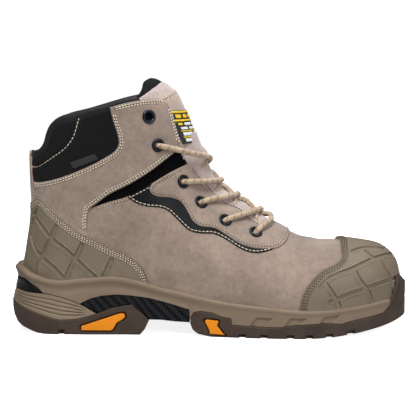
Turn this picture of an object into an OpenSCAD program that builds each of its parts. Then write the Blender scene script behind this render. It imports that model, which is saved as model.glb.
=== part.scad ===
// Steel toe work boot, right foot.
// Frame: X runs from heel to toe, Y towards the medial (inner) side, Z up.
// The origin is on the ground under the rearmost point of the heel, on the boot's centre plane.
// All lengths are in millimetres.
//
// The upper is built on one reference surface, the outer face of its base leather.
// The surface is a row of flat sections. They are level in the shaft, fan round the ankle
// and stand upright in the forefoot. Every layer lies a constant distance off that surface,
// outwards positive, and each panel is cut from its layer by an outline in side view.

/* [Layers] */
// Thickness of the base leather
leather_t = 1.9; // [1.4:0.1:2.0]
// Thickness of the leather laid over the base leather
overlay_t = 1.6; // [1.0:0.1:1.8]
// Thickness of the moulded rubber guards at toe and heel
guard_t = 2.0; // [1.4:0.1:2.4]
// Thickness of the padded lining
lining_t = 1.5; // [1.0:0.1:2.0]
// Thickness of the foam in the padded collar
collar_foam_t = 6; // [3:0.5:7]
// Thickness of the foam in the tongue
tongue_foam_t = 5; // [3:0.5:6]

/* [Protection] */
// Wall thickness of the steel toe cap
cap_t = 1.7; // [1.5:0.1:1.8]
// How far back the steel toe cap reaches from the toe end of the upper
cap_length = 52; // [42:1:58]
// Thickness of the puncture plate
plate_t = 1.0; // [0.6:0.1:1.4]

/* [Lacing] */
// Outer diameter of an eyelet's flange
eyelet_flange_d = 10.6; // [9:0.2:11]
// Bore through an eyelet
eyelet_bore_d = 5.2; // [5:0.1:5.6]
// Wall of an eyelet's barrel
eyelet_wall = 0.7; // [0.5:0.1:0.9]
// Diameter of the round lace
lace_d = 4.6; // [3.6:0.1:4.8]

/* [Sole] */
// Depth of the tread channels
tread_depth = 4.5; // [3:0.5:5]
// Width of the tread channels
tread_gap = 7; // [5:0.5:8]
// Thickness of the removable footbed at the heel
footbed_t = 5; // [3:0.5:6]

/* [Hidden] */

LATERAL = -1;
MEDIAL = 1;

// Clearance between neighbouring layers and between neighbouring panels
gap = 0.1;

// Ankle pivot in side view, and the gap between shaft and lower boot there
ankle = [66, 96];
ankle_gap = 1;

// Sections of the upper, from the top of the tongue round the ankle to the toe.
// Columns: number, X and Z of the front line, X and Z of the far end, length over which
// the front rounds off, squareness of that rounding, shift of the crest to the medial
// side, and the spread of the points along the section in degrees.
SECTION = [
    [0, 131, 206, 19, 206, 54, 1.9, 4, 170],
    [1, 134, 190, 18.5, 190, 54, 1.9, 4, 170],
    [2, 140, 175, 18, 175, 54, 1.9, 4.5, 170],
    [3, 145.5, 161, 17.8, 159, 54, 1.85, 5, 170],
    [4, 150.5, 148, 17.8, 141, 54, 1.8, 5.5, 170],
    [5, 156, 135, 18.2, 121, 56, 1.75, 6.5, 170],
    [6, 161.5, 122, 18.8, 101, 58, 1.7, 8, 170],
    [7, 169, 111, 17.2, 81, 60, 1.7, 10, 168],
    [8, 178, 104, 14.5, 62, 60, 1.7, 10.5, 165],
    [9, 188, 97.2, 11.8, 40, 60, 1.7, 10.5, 160],
    [10, 197, 91.2, 22, 12, 60, 1.7, 10, 140],
    [11, 205, 86.2, 70, 12, 58, 1.7, 9, 120],
    [12, 212, 82, 115, 12, 56, 1.75, 7.5, 110],
    [13, 219, 78.2, 155, 12, 52, 1.8, 6, 105],
    [14, 227, 74.6, 190, 12, 48, 1.9, 4.5, 100],
    [15, 236, 71.6, 217, 12, 45, 2.0, 3.5, 100],
    [16, 247, 69.7, 238, 12, 42, 2.1, 3, 100],
    [17, 259, 69, 256, 12, 38, 2.3, 3, 100],
    [18, 271, 68.2, 270, 12, 34, 2.5, 3, 100],
    [19, 282.5, 66.6, 282.5, 12, 31, 2.6, 3, 100],
    [20, 292, 64.8, 292, 12, 29, 2.6, 3.5, 100],
    [21, 299, 61.8, 299, 12, 27, 2.5, 4, 100],
    [22, 304, 57.8, 304, 12, 25, 2.4, 4.5, 100],
    [23, 307.3, 53, 307.3, 12, 23, 2.2, 5, 100],
    [24, 309.3, 47.5, 309.3, 12, 20, 2.1, 5, 100],
    [25, 310.2, 41, 310.2, 12, 17, 2, 5, 100]
];
// Points along each half of a section
SECTION_POINTS = 11;

// Back line of the upper: height, X
BACK_LINE = [[12, 14], [30, 12], [48, 11.8], [64, 14.4], [85, 17.7], [101, 18.6],
             [118, 18], [142, 17.8], [206, 19]];
// Length over which the back rounds off, by height
BACK_ROUND = [[12, 40], [100, 44], [150, 58], [206, 60]];

// Half width of the foot part by X, lateral and medial
FOOT_WIDTH = [[8, 34.5, 34.5], [60, 35.5, 35], [95, 35, 32.5], [130, 37, 30.5],
              [160, 42, 33.5], [190, 47.5, 41], [212, 51, 46.5], [232, 52, 49.5]];
// Half width of the leg part by height
LEG_WIDTH = [[40, 35], [80, 34.5], [105, 33], [125, 33.5], [150, 36], [178, 37], [206, 34]];

// Where the toe begins to round off in plan, and how square it is on each side
toe_start = 232;
toe_end = 310.6;
toe_square_lateral = 2.15;
toe_square_medial = 2.5;

// ---------------------------------------------------------------- smooth tables

function row_at(table, x, i = 0) =
    i >= len(table) - 2 || x < table[i + 1][0] ? i : row_at(table, x, i + 1);

function slope(table, i, col) =
    let (a = max(i - 1, 0), b = min(i + 1, len(table) - 1))
    (table[b][col] - table[a][col]) / (table[b][0] - table[a][0]);

// Value of a table's column at x, on a smooth curve through the rows
function smooth_at(table, x, col = 1) =
    let (i = row_at(table, x),
         h = table[i + 1][0] - table[i][0],
         u = min(1, max(0, (x - table[i][0]) / h)))
    (2 * u ^ 3 - 3 * u ^ 2 + 1) * table[i][col]
    + (u ^ 3 - 2 * u ^ 2 + u) * h * slope(table, i, col)
    + (3 * u ^ 2 - 2 * u ^ 3) * table[i + 1][col]
    + (u ^ 3 - u ^ 2) * h * slope(table, i + 1, col);

function fade(x, a, b) = let (u = min(1, max(0, (x - a) / (b - a)))) u * u * (3 - 2 * u);

// Rounding that rises from 0 at u = 0 to 1 at u = 1
function round_off(u, n) = (1 - (1 - min(1, max(0, u))) ^ n) ^ (1 / n);

// ---------------------------------------------------------------- reference surface

function foot_half_width(side, x) =
    x < toe_start
    ? smooth_at(FOOT_WIDTH, x, side < 0 ? 1 : 2)
    : FOOT_WIDTH[len(FOOT_WIDTH) - 1][side < 0 ? 1 : 2]
      * round_off((toe_end - x) / (toe_end - toe_start),
                  side < 0 ? toe_square_lateral : toe_square_medial);

function half_width(side, x, z) =
    let (leg = fade(z, 45, 112) * (1 - fade(x, 190, 240)))
    (1 - leg) * foot_half_width(side, x) + leg * smooth_at(LEG_WIDTH, z);

// Point of the surface: section number s, share v of the way down one side
function surface_point(s, v, side) =
    let (front = [smooth_at(SECTION, s, 1), smooth_at(SECTION, s, 2)],
         end = [smooth_at(SECTION, s, 3), smooth_at(SECTION, s, 4)],
         span = end - front,
         spread = smooth_at(SECTION, s, 8),
         d = norm(span) * (1 - cos(spread * v)) / (1 - cos(spread)))
    surface_at(s, d, side);

// Point of the surface: section number s, distance d from the front line
function surface_at(s, d, side) =
    let (front = [smooth_at(SECTION, s, 1), smooth_at(SECTION, s, 2)],
         end = [smooth_at(SECTION, s, 3), smooth_at(SECTION, s, 4)],
         p = front + (end - front) / norm(end - front) * d,
         reach = smooth_at(SECTION, s, 5),
         u = min(1, d / reach),
         w = half_width(side, p[0], p[1])
             * round_off(d / reach, smooth_at(SECTION, s, 6))
             * round_off((p[0] - smooth_at(BACK_LINE, p[1])) / smooth_at(BACK_ROUND, p[1]), 2.1),
         shift = smooth_at(SECTION, s, 7) * (1 - u) ^ 1.5)
    [p[0], shift + side * (d == 0 ? 0 : max(w, 1)), p[1]];

SECTIONS = [for (i = [0:len(SECTION) - 1]) i];

// Grid of points: one row a section, from the far end of the lateral side over the crest
GRID = [for (s = SECTIONS)
    [for (j = [-SECTION_POINTS:SECTION_POINTS])
        surface_point(s, abs(j) / SECTION_POINTS, j < 0 ? LATERAL : MEDIAL)]];

function unit(v) = v / norm(v);

// Outward normals of the grid
NORMALS = let (m = len(GRID) - 1, n = 2 * SECTION_POINTS)
    [for (i = [0:m])
        [for (j = [0:n])
            unit(cross(GRID[min(i + 1, m)][j] - GRID[max(i - 1, 0)][j],
                       GRID[i][min(j + 1, n)] - GRID[i][max(j - 1, 0)]))]];

// Outward normal at a place on the surface
function surface_normal(s, d, side) =
    unit(side * cross(surface_at(s + 0.2, d, side) - surface_at(s - 0.2, d, side),
                      surface_at(s, d + 1, side) - surface_at(s, max(d - 1, 0.05), side)));

function centre(points) = [for (k = [0:2]) [for (p = points) p[k]] * [for (p = points) 1]]
    / len(points);

// Solid boot shape whose skin lies t off the reference surface
module last_solid(t) {
    rows = len(GRID);
    n = len(GRID[0]);
    skin = [for (i = [0:rows - 1]) for (j = [0:n - 1]) GRID[i][j] + t * NORMALS[i][j]];
    caps = [centre([for (j = [0:n - 1]) skin[j]]),
            centre([for (j = [0:n - 1]) skin[(rows - 1) * n + j]])];
    sides = [for (i = [0:rows - 2]) for (j = [0:n - 1])
        let (a = i * n + j, b = i * n + (j + 1) % n, c = a + n, d = b + n)
        each [[a, b, c], [b, d, c]]];
    ends = [for (j = [0:n - 1])
        let (k = (j + 1) % n, z = (rows - 1) * n)
        each [[j, rows * n, k], [z + j, z + k, rows * n + 1]]];
    polyhedron(points = concat(skin, caps), faces = concat(sides, ends));
}

// Skin between two distances off the surface
module layer(outer, inner) {
    difference() {
        last_solid(outer);
        last_solid(inner);
    }
}

// Outline in side view made solid across one side of the boot, or both for side 0
module across(outline, side = 0) {
    depth = 90;
    far = side > 0 ? depth : side < 0 ? -gap / 2 : depth;
    rotate([90, 0, 0])
        translate([0, 0, -far])
            linear_extrude(side == 0 ? 2 * depth : depth - gap / 2)
                polygon(outline);
}

// Children as one mesh: the skins are free-form and have no flat or round faces to keep
module one_mesh() {
    resize([0, 0, 0]) children();
}

// Piece of a layer inside an outline
module panel(outer, inner, outline, side = 0) {
    intersection() {
        layer(outer, inner);
        across(outline, side);
    }
}

// ---------------------------------------------------------------- places on the surface

// Section number of a point in side view, found by halving
function section_of(p, low = 0, high = 25, turns = 22) =
    turns == 0 ? (low + high) / 2 :
    let (s = (low + high) / 2,
         front = [smooth_at(SECTION, s, 1), smooth_at(SECTION, s, 2)],
         end = [smooth_at(SECTION, s, 3), smooth_at(SECTION, s, 4)],
         turn = cross(end - front, p - front))
    turn > 0 ? section_of(p, s, high, turns - 1) : section_of(p, low, s, turns - 1);

// Section number and distance from the front line of a point in side view
function place(p) =
    let (s = section_of(p))
    [s, norm(p - [smooth_at(SECTION, s, 1), smooth_at(SECTION, s, 2)])];

// Children stand on the surface at a place, their Z axis along its outward normal
module on_surface(at, side, t = 0) {
    n = surface_normal(at[0], at[1], side);
    o = surface_at(at[0], at[1], side) + t * n;
    u = unit(cross([0, 1, 0], n));
    w = cross(n, u);
    multmatrix([[u[0], w[0], n[0], o[0]],
                [u[1], w[1], n[1], o[1]],
                [u[2], w[2], n[2], o[2]],
                [0, 0, 0, 1]]) children();
}

// ---------------------------------------------------------------- lines in side view

function lift(line, dz) = [for (p = line) p + [0, dz]];
function back(line) = [for (i = [len(line) - 1:-1:0]) line[i]];

// Top of the midsole, where the upper meets it, from heel to toe
SOLE_LINE = [[-10, 46], [12, 46.5], [30, 46], [45, 44], [67, 45], [85, 46], [102, 43],
             [120, 38], [136, 34.5], [152, 31], [175, 27], [205, 24], [229, 22],
             [250, 22.3], [272, 24.5], [300, 27.5], [330, 29]];
// Ankle flex gap: top of the lower boot and bottom of the shaft, in front of the pivot
FLEX_LOW = [[66, 95], [72, 98.5], [83, 102.7], [97, 108], [112, 116], [129, 125.5],
            [142, 131.5], [175, 146]];
FLEX_HIGH = [[66, 97], [71, 101.5], [82, 109.5], [98, 117.6], [113, 127], [125, 136],
             [136, 144.5], [175, 173]];
// The same behind the pivot, from the back of the heel
BACK_LOW = [[-10, 102.7], [66, 95]];
BACK_HIGH = [[-10, 122.5], [66, 97]];
// Front edges of the facings over the throat, from the collar down, on each side
FACING_HIGH = [[[129, 173], [132, 162], [135, 151], [136, 144.5]],
               [[132, 175], [136, 164], [140, 153], [143, 149]]];
FACING_LOW = [[[142, 131.5], [142.5, 129], [149, 120], [160, 107], [169, 99],
               [182, 93], [191, 85], [201, 80], [205, 78], [209, 80], [212, 90]],
              [[150, 135], [154, 124], [160, 114.5], [168, 108.5], [177, 102.3],
               [187, 95.5], [196, 89.2], [204, 84.6], [209, 81], [212, 90]]];
// Seam under the collar binding and the collar's top edge, from back to front
SEAM_LINE = [[-10, 136.5], [20, 138], [26, 141], [31, 146], [34, 153], [37, 160],
             [41, 164], [45, 166], [59, 169], [71, 173], [83, 176.8], [95, 180],
             [106, 181.8], [115, 182.3], [126, 181]];
TOP_LINE = [[-10, 141], [17, 141.5], [25, 144], [28.5, 148.5], [31, 156], [34.5, 162.5],
            [39.5, 167.4], [45, 170.2], [60, 173.8], [75, 178.2], [91, 183],
            [102, 185], [114, 185.3], [126, 184.3]];
// Edge of the tongue under the facings, from the top down to the throat
TONGUE_EDGE = [[103, 202], [103, 186], [105, 172], [111, 152], [115, 140], [125, 118],
               [138, 100], [152, 88], [168, 78], [184, 70], [200, 66], [214, 66], [223, 71]];
// Lower edges of the eyestay and of the wave trim below it
EYESTAY_EDGE = [[116, 117.8], [113, 115], [113, 111], [117, 108], [129, 106], [136, 103],
                [142, 95], [146, 88], [152, 84], [163, 82], [173, 76], [183, 70],
                [192, 67], [204, 66], [214, 67], [221, 73], [224, 80]];
WAVE_EDGE = [[96, 107.3], [102, 103], [111, 100], [120, 99], [126, 97], [133, 91],
             [139, 85], [144, 81], [152, 79], [163, 78], [173, 73], [183, 67],
             [192, 64], [200, 64.6], [204, 65.6]];
// Lower edge of the softshell on the shaft, from the back to the seam
SOFTSHELL_EDGE = [[-10, 116.8], [27, 117], [44, 122], [68, 132], [79, 138], [88, 143],
                  [90, 149], [89, 155], [85, 167], [83, 176.6]];
// Edges of the guards over the heel and the toe
HEEL_GUARD_EDGE = [[-10, 100], [20, 100.5], [24, 103], [27, 104.6], [31, 102.6],
                   [37, 97], [48, 88], [59, 80], [71, 74], [82, 68], [94, 63],
                   [102, 58], [108, 51], [111.7, 40.9]];
TOE_GUARD_EDGE = [[264, 78], [262, 65], [262, 60], [258, 56], [245, 50], [236, 42],
                  [231, 34], [229, 26], [228.5, 22.2]];
// Where the vamp meets the quarters, from the throat down
VAMP_EDGE = [[198, 100], [203, 72], [200, 44], [190, 25.6]];
// Split between the tongue's tip and its neck, from the front
TIP_SPLIT = [[160, 180.5], [135, 180.5], [130, 183.5], [124, 185.6], [95, 185.6]];
TONGUE_TOP = [[106, 186], [107, 192], [109, 196.5], [113, 198], [120, 197.4],
              [126, 195], [131, 190.5], [136, 184]];

// Layers, as distances off the reference surface
tongue_out = -leather_t - gap;
tongue_shell_t = 1.1;
tongue_in = tongue_out - tongue_shell_t - gap - tongue_foam_t - gap - lining_t;
softshell_t = 1;
inner_out = -leather_t - gap;
inner_t = cap_t;
lining_out = inner_out - inner_t - gap;
lining_in = lining_out - lining_t;
foam_out = -softshell_t - gap;
foam_in = foam_out - collar_foam_t;

function facing(line, side) = line[side < 0 ? 0 : 1];

// Everything above the sole line and behind or below the flex gap
LOWER_AREA = concat(lift(SOLE_LINE, gap), [[330, 160], [175, 146 - gap]],
                    back(lift(FLEX_LOW, -gap / 2)), back(lift(BACK_LOW, -gap / 2)));
SHAFT_AREA = concat(lift(BACK_HIGH, gap / 2), lift(FLEX_HIGH, gap / 2),
                    [[175, 230], [-10, 230]]);
FLEX_AREA = concat(lift(BACK_LOW, gap / 2), lift(FLEX_LOW, gap / 2),
                   back(lift(FLEX_HIGH, -gap / 2)), back(lift(BACK_HIGH, -gap / 2)));
TONGUE_AREA = concat(TONGUE_EDGE, [[240, 90], [240, 210], [103, 210]]);
NOT_TONGUE = concat([for (p = TONGUE_EDGE) p - [1, 1]],
                    [[224.6, 70.2], [242, 89.5], [242, 210], [102, 210]]);

// ---------------------------------------------------------------- lower boot

LEATHER = [0.57, 0.50, 0.45];
GUARD = [0.46, 0.42, 0.36];
BLACK = [0.08, 0.08, 0.09];
TAN = [0.51, 0.44, 0.38];
BROWN = [0.31, 0.26, 0.23];
YELLOW = [0.92, 0.63, 0];

// Side-view area in front of the facings of the lower boot
module throat(side) {
    across(concat([[142, 160]], facing(FACING_LOW, side), [[212, 160]]), side);
}

// Base leather from the heel to the vamp on one side
module quarter(side) {
    color(LEATHER)
        one_mesh()
            difference() {
                panel(0, -leather_t, LOWER_AREA, side);
                throat(side);
                across(concat(VAMP_EDGE, [[190, 10], [330, 10], [330, 90]]), side);
                eyelet_holes(LOWER_EYELETS, side);
            }
}

module quarter_lateral() { quarter(LATERAL); }
module quarter_medial() { quarter(MEDIAL); }

module vamp() {
    color(LEATHER)
        one_mesh()
            intersection() {
                layer(0, -leather_t);
                across(concat([for (p = VAMP_EDGE) p + [gap, 0]],
                              [for (p = SOLE_LINE) if (p[0] > 191) p + [0, gap]],
                              [[330, 90]]));
            }
}

module toe_guard() {
    color(GUARD)
        one_mesh()
            difference() {
                intersection() {
                    layer(guard_t + gap, gap);
                    across(concat(TOE_GUARD_EDGE,
                                  [for (p = SOLE_LINE) if (p[0] > 229) p + [0, gap]],
                                  [[330, 90]]));
                }
                guard_grooves(TOE_GROOVES);
            }
}

module heel_guard() {
    color(GUARD)
        one_mesh()
            difference() {
                intersection() {
                    layer(guard_t + gap, gap);
                    across(concat(HEEL_GUARD_EDGE,
                                  back([for (p = SOLE_LINE) if (p[0] < 112) p + [0, gap]])));
                }
                guard_grooves(HEEL_GROOVES);
            }
}

// Grooves cut half way into a guard: each row is two ends in side view
groove_w = 2.6;
TOE_GROOVES = [[[252, 80], [280, 20]], [[276, 80], [304, 20]],
               [[236, 20], [276, 72]], [[266, 20], [306, 72]]];
HEEL_GROOVES = [[[6, 92], [50, 52]], [[18, 105], [74, 54]], [[6, 66], [26, 48]],
                [[28, 44], [48, 96]], [[56, 44], [76, 82]], [[84, 44], [96, 70]]];

function bar(a, b, w) =
    let (n = unit([a[1] - b[1], b[0] - a[0]]) * w / 2) [a + n, b + n, b - n, a - n];

module guard_grooves(rows) {
    difference() {
        for (r = rows)
            across(bar(r[0], r[1], groove_w));
        last_solid(gap + guard_t / 2);
    }
}

module eyestay(side) {
    color(LEATHER)
        one_mesh()
            difference() {
                panel(gap + overlay_t, gap,
                      concat(lift(FLEX_LOW_FRONT, -gap / 2), facing(FACING_LOW, side),
                             [[220, 86]], back(EYESTAY_EDGE)), side);
                eyelet_holes(LOWER_EYELETS, side);
            }
}

// Part of the flex gap's lower line along the top of the eyestay
FLEX_LOW_FRONT = [[116, 118.2], [129, 125.5]];

module eyestay_lateral() { eyestay(LATERAL); }
module eyestay_medial() { eyestay(MEDIAL); }

module wave_trim(side) {
    trim_t = overlay_t / 2;
    color(BLACK)
        one_mesh()
            panel(gap + trim_t, gap,
                  concat(WAVE_EDGE, back([for (i = [1:len(EYESTAY_EDGE) - 4])
                                          EYESTAY_EDGE[i] + [-0.3, -0.3]]),
                         [[112, 115.4], [97, 107.6]]), side);
}

module wave_trim_lateral() { wave_trim(LATERAL); }
module wave_trim_medial() { wave_trim(MEDIAL); }

// Stiffener cup inside the heel
module heel_counter() {
    color([0.75, 0.72, 0.65])
        one_mesh()
            panel(inner_out, inner_out - inner_t,
                  concat([for (p = SOLE_LINE) if (p[0] < 100) p + [0, gap]],
                         [[98, 56], [84, 72], [60, 90], [30, 97], [-10, 98]]));
}

module steel_toe_cap() {
    color([0.62, 0.64, 0.66])
        one_mesh()
            panel(inner_out, inner_out - inner_t,
                  concat([[toe_end - cap_length, 23.2]],
                         [for (p = SOLE_LINE) if (p[0] > 260) p + [0, gap]],
                         [[330, 90], [toe_end - cap_length, 90]]));
}

// Soft strip that pads the rear edge of the toe cap
module toe_cap_edge_strip() {
    x = toe_end - cap_length - gap;
    strip_w = 9;
    color([0.25, 0.25, 0.27])
        one_mesh()
            panel(inner_out, inner_out - inner_t,
                  [[x - strip_w, 30], [x, 30], [x, 90], [x - strip_w, 90]]);
}

board_t = 2.2;
board_low = gap + plate_t + gap;
board_high = board_low + board_t;

module sole_sheet(low, high, inset) {
    one_mesh()
        intersection() {
            last_solid(inset);
            across(concat(lift(SOLE_LINE, low), back(lift(SOLE_LINE, high))));
        }
}

module puncture_plate() {
    color([0.70, 0.71, 0.74]) sole_sheet(gap, gap + plate_t, lining_out - 1);
}

module insole_board() {
    color([0.80, 0.72, 0.56]) sole_sheet(board_low, board_high, lining_out - 0.2);
}

// The footbed stays short of the heel, so that it clears the wall as its heel end lifts
footbed_room = 1.8;

module footbed() {
    low = board_high + 2 * gap;
    line = concat([[21.5, 46.3]], [for (p = SOLE_LINE) if (p[0] > 22) p]);
    color([0.16, 0.16, 0.18])
        one_mesh()
            intersection() {
                last_solid(lining_in - footbed_room);
                across(concat(lift(line, low), back(lift(line, low + footbed_t))));
            }
}

module lower_lining() {
    color([0.13, 0.13, 0.14])
        one_mesh()
            difference() {
                panel(lining_out, lining_in,
                      concat(lift(SOLE_LINE, board_high + gap), [[330, 160], [175, 146 - gap]],
                             back(lift(FLEX_LOW, -gap / 2)), back(lift(BACK_LOW, -gap / 2))));
                across(NOT_TONGUE);
            }
}

// ---------------------------------------------------------------- ankle flex

// Stretch gusset that fills the wedge in front of the ankle pivot
module ankle_gusset(side) {
    color(BLACK)
        one_mesh()
            difference() {
                panel(-gap, -leather_t,
                      concat([for (p = FLEX_LOW) if (p[0] < 145) p + [0, gap / 2]],
                             back([for (p = FLEX_HIGH) if (p[0] < 137) p - [0, gap / 2]])),
                      side);
                across([[142, 125], [142, 131.5], [136, 144.5], [136, 160], [180, 160],
                        [180, 125]]);
            }
}

module ankle_gusset_lateral() { ankle_gusset(LATERAL); }
module ankle_gusset_medial() { ankle_gusset(MEDIAL); }

// Leather that folds behind the ankle pivot
module heel_fold(side) {
    color(LEATHER)
        one_mesh()
            panel(0, -leather_t,
                  concat(lift(BACK_LOW, gap / 2), back(lift(BACK_HIGH, -gap / 2))), side);
}

module heel_fold_lateral() { heel_fold(LATERAL); }
module heel_fold_medial() { heel_fold(MEDIAL); }

// Padded lining that bends across the ankle
module lining_fold() {
    color([0.13, 0.13, 0.14])
        one_mesh()
            difference() {
                panel(lining_out, lining_in, FLEX_AREA);
                across(NOT_TONGUE);
            }
}

// ---------------------------------------------------------------- shaft

module front_of_shaft(side) {
    across(concat(facing(FACING_HIGH, side), [[136, 140], [180, 140], [180, 230], [129, 230]]),
           side);
}

module ankle_panel(side) {
    color(LEATHER)
        one_mesh()
            difference() {
                panel(gap + overlay_t, gap,
                      concat(lift(BACK_HIGH, gap / 2), lift(FLEX_HIGH, gap / 2),
                             [[175, 230], [126, 179], [121, 181.6], [115, 182.1],
                              [106, 181.6], [95, 179.8]],
                             back(SOFTSHELL_EDGE)), side);
                front_of_shaft(side);
                eyelet_holes(UPPER_EYELETS, side);
            }
}

module ankle_panel_lateral() { ankle_panel(LATERAL); }
module ankle_panel_medial() { ankle_panel(MEDIAL); }

// Softshell fabric under the ankle panel
module collar_panel(side) {
    color(BLACK)
        one_mesh()
            difference() {
                panel(0, -softshell_t,
                      concat(lift(BACK_HIGH, gap / 2), lift(FLEX_HIGH, gap / 2),
                             [[175, 181]], back(lift(SEAM_LINE, -gap))), side);
                front_of_shaft(side);
                eyelet_holes(UPPER_EYELETS, side);
            }
}

module collar_panel_lateral() { collar_panel(LATERAL); }
module collar_panel_medial() { collar_panel(MEDIAL); }

module shaft_filling(outer, inner) {
    one_mesh()
        difference() {
            panel(outer, inner,
                  concat(lift(BACK_HIGH, gap / 2), lift(FLEX_HIGH, gap / 2),
                         [[175, 181]], back(lift(SEAM_LINE, -gap))));
            across(NOT_TONGUE);
        }
}

module collar_foam() {
    color([0.30, 0.30, 0.32]) shaft_filling(foam_out, foam_in);
}

module shaft_lining() {
    color([0.13, 0.13, 0.14]) shaft_filling(foam_in - gap, foam_in - gap - lining_t);
}

// Roll round the collar's top edge
module collar_binding() {
    color(BLACK)
        one_mesh()
            difference() {
                panel(0.5, foam_in - gap - lining_t, concat(SEAM_LINE, back(TOP_LINE)));
                across(NOT_TONGUE);
            }
}

module backstay() {
    strip_t = 1.2;
    color(LEATHER)
        one_mesh()
            panel(gap + strip_t, gap,
                  [[-10, 117.3], [24.5, 117.3], [23, 130], [21, 137.6], [-10, 136.2]]);
}

module side_label() {
    color(BLACK)
        one_mesh()
            panel(0.8, gap, [[52, 134], [54, 129], [73.4, 136.6], [71, 141]], LATERAL);
}

// ---------------------------------------------------------------- tongue

BASE_AREA = concat(lift(FLEX_LOW, -gap / 2), [[240, 140], [240, 60], [66, 60]]);
NECK_AREA = concat(lift(FLEX_HIGH, gap / 2), [for (p = TIP_SPLIT) p - [0, 0.2]]);
TIP_AREA = concat([for (p = TIP_SPLIT) p + [0, 0.2]], TONGUE_TOP, [[160, 184]]);

// Front view of the tongue: straight sides and a rounded top
module tongue_front() {
    half = 31;
    top = 198;
    shoulder = 176;
    mid = 4;
    rotate([90, 0, 90])
        linear_extrude(300)
            polygon(concat([[-60, 40], [60, 40], [60, 150], [mid + half, shoulder]],
                           [for (a = [0:12:180])
                               [mid + half * cos(a), shoulder + (top - shoulder) * sin(a)]],
                           [[mid - half, shoulder], [-60, 150]]));
}

module tongue_part(outer, inner, area) {
    one_mesh()
        intersection() {
            panel(outer, inner, TONGUE_AREA);
            across(area);
            tongue_front();
        }
}

module tongue_shell(area) {
    color([0.68, 0.62, 0.60])
        tongue_part(tongue_out, tongue_out - tongue_shell_t, area);
}

module tongue_foam(area) {
    foam = tongue_out - tongue_shell_t - gap;
    color([0.30, 0.30, 0.32]) tongue_part(foam, foam - tongue_foam_t, area);
}

module tongue_lining(area) {
    color([0.10, 0.10, 0.11]) tongue_part(tongue_in + lining_t, tongue_in, area);
}

module tongue_base_shell() { tongue_shell(BASE_AREA); }
module tongue_base_foam() { tongue_foam(BASE_AREA); }
module tongue_base_lining() { tongue_lining(BASE_AREA); }
module tongue_neck_shell() { tongue_shell(NECK_AREA); }
module tongue_neck_foam() { tongue_foam(NECK_AREA); }
module tongue_neck_lining() { tongue_lining(NECK_AREA); }
module tongue_tip_shell() { tongue_shell(TIP_AREA); }
module tongue_tip_foam() { tongue_foam(TIP_AREA); }
module tongue_tip_lining() { tongue_lining(TIP_AREA); }

// The tongue where it bends across the ankle
module tongue_fold() {
    color([0.68, 0.62, 0.60])
        tongue_part(tongue_out, tongue_in, FLEX_AREA);
}

module tongue_label() {
    color([0.2, 0.2, 0.2])
        one_mesh()
            panel(tongue_out + gap + 0.7, tongue_out + gap,
                  [[132, 171], [160, 171], [160, 152], [148, 150], [137, 149]]);
}

// ---------------------------------------------------------------- eyelets and lace

// Places of the eyelets in side view from the top down, lateral and medial
UPPER_EYELETS = [[[112, 169], [119, 147]],
                 [[114, 170], [123, 149]]];
LOWER_EYELETS = [[[138, 118], [152, 101], [171, 87], [195, 77]],
                 [[146, 123], [156, 111], [172, 98], [194, 84]]];
eyelet_r = eyelet_bore_d / 2;
barrel_r = eyelet_r + eyelet_wall;
flange_t = 0.7;
flange_at = gap + overlay_t + gap + 0.6;
barrel_low = 0.5 - leather_t;

module eyelet_holes(rows, side) {
    for (p = rows[side < 0 ? 0 : 1])
        on_surface(place(p), side, -4)
            cylinder(r = barrel_r + 0.5, h = 12, $fn = 16);
}

module eyelet() {
    flange_r = eyelet_flange_d / 2;
    rotate_extrude($fn = 48)
        polygon([[eyelet_r, barrel_low], [barrel_r, barrel_low], [barrel_r, flange_at],
                 [flange_r, flange_at], [flange_r, flange_at + flange_t / 2],
                 [flange_r - 0.4, flange_at + flange_t],
                 [eyelet_r + 0.4, flange_at + flange_t], [eyelet_r, flange_at + 0.2]]);
}

module eyelet_rows(rows) {
    color([0.10, 0.11, 0.14])
        for (side = [LATERAL, MEDIAL])
            for (p = rows[side < 0 ? 0 : 1])
                on_surface(place(p), side) eyelet();
}

module lower_eyelets() { eyelet_rows(LOWER_EYELETS); }
module upper_eyelets() { eyelet_rows(UPPER_EYELETS); }

lace_r = lace_d / 2;
lace_sides = 6;
// Height of the lace over the surface: clear of the facings, and of the lace it crosses
lace_over = flange_at + flange_t + lace_r + 0.4;
lace_crossing = lace_over + lace_d + 0.5;

// Point off the surface at section s, distance d over the crest, negative on the lateral side
function lace_point(s, d, t) =
    let (side = d < 0 ? LATERAL : MEDIAL)
    surface_at(s, abs(d), side) + t * surface_normal(s, max(abs(d), 0.3), side);

// Round tube along a path
module tube(path, r, sides) {
    n = len(path);
    rings = [for (i = [0:n - 1])
        let (along = unit(path[min(i + 1, n - 1)] - path[max(i - 1, 0)]),
             a = unit(cross(along, [1, 0.1, 0.2])),
             b = cross(along, a))
        for (k = [0:sides - 1])
            path[i] + r * (cos(360 * k / sides) * a + sin(360 * k / sides) * b)];
    sides_faces = [for (i = [0:n - 2]) for (k = [0:sides - 1])
        let (p = i * sides + k, q = i * sides + (k + 1) % sides)
        each [[p, p + sides, q], [q, p + sides, q + sides]]];
    polyhedron(points = rings,
               faces = concat(sides_faces, [[for (k = [0:sides - 1]) k]],
                              [[for (k = [sides - 1:-1:0]) (n - 1) * sides + k]]));
}

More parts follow.
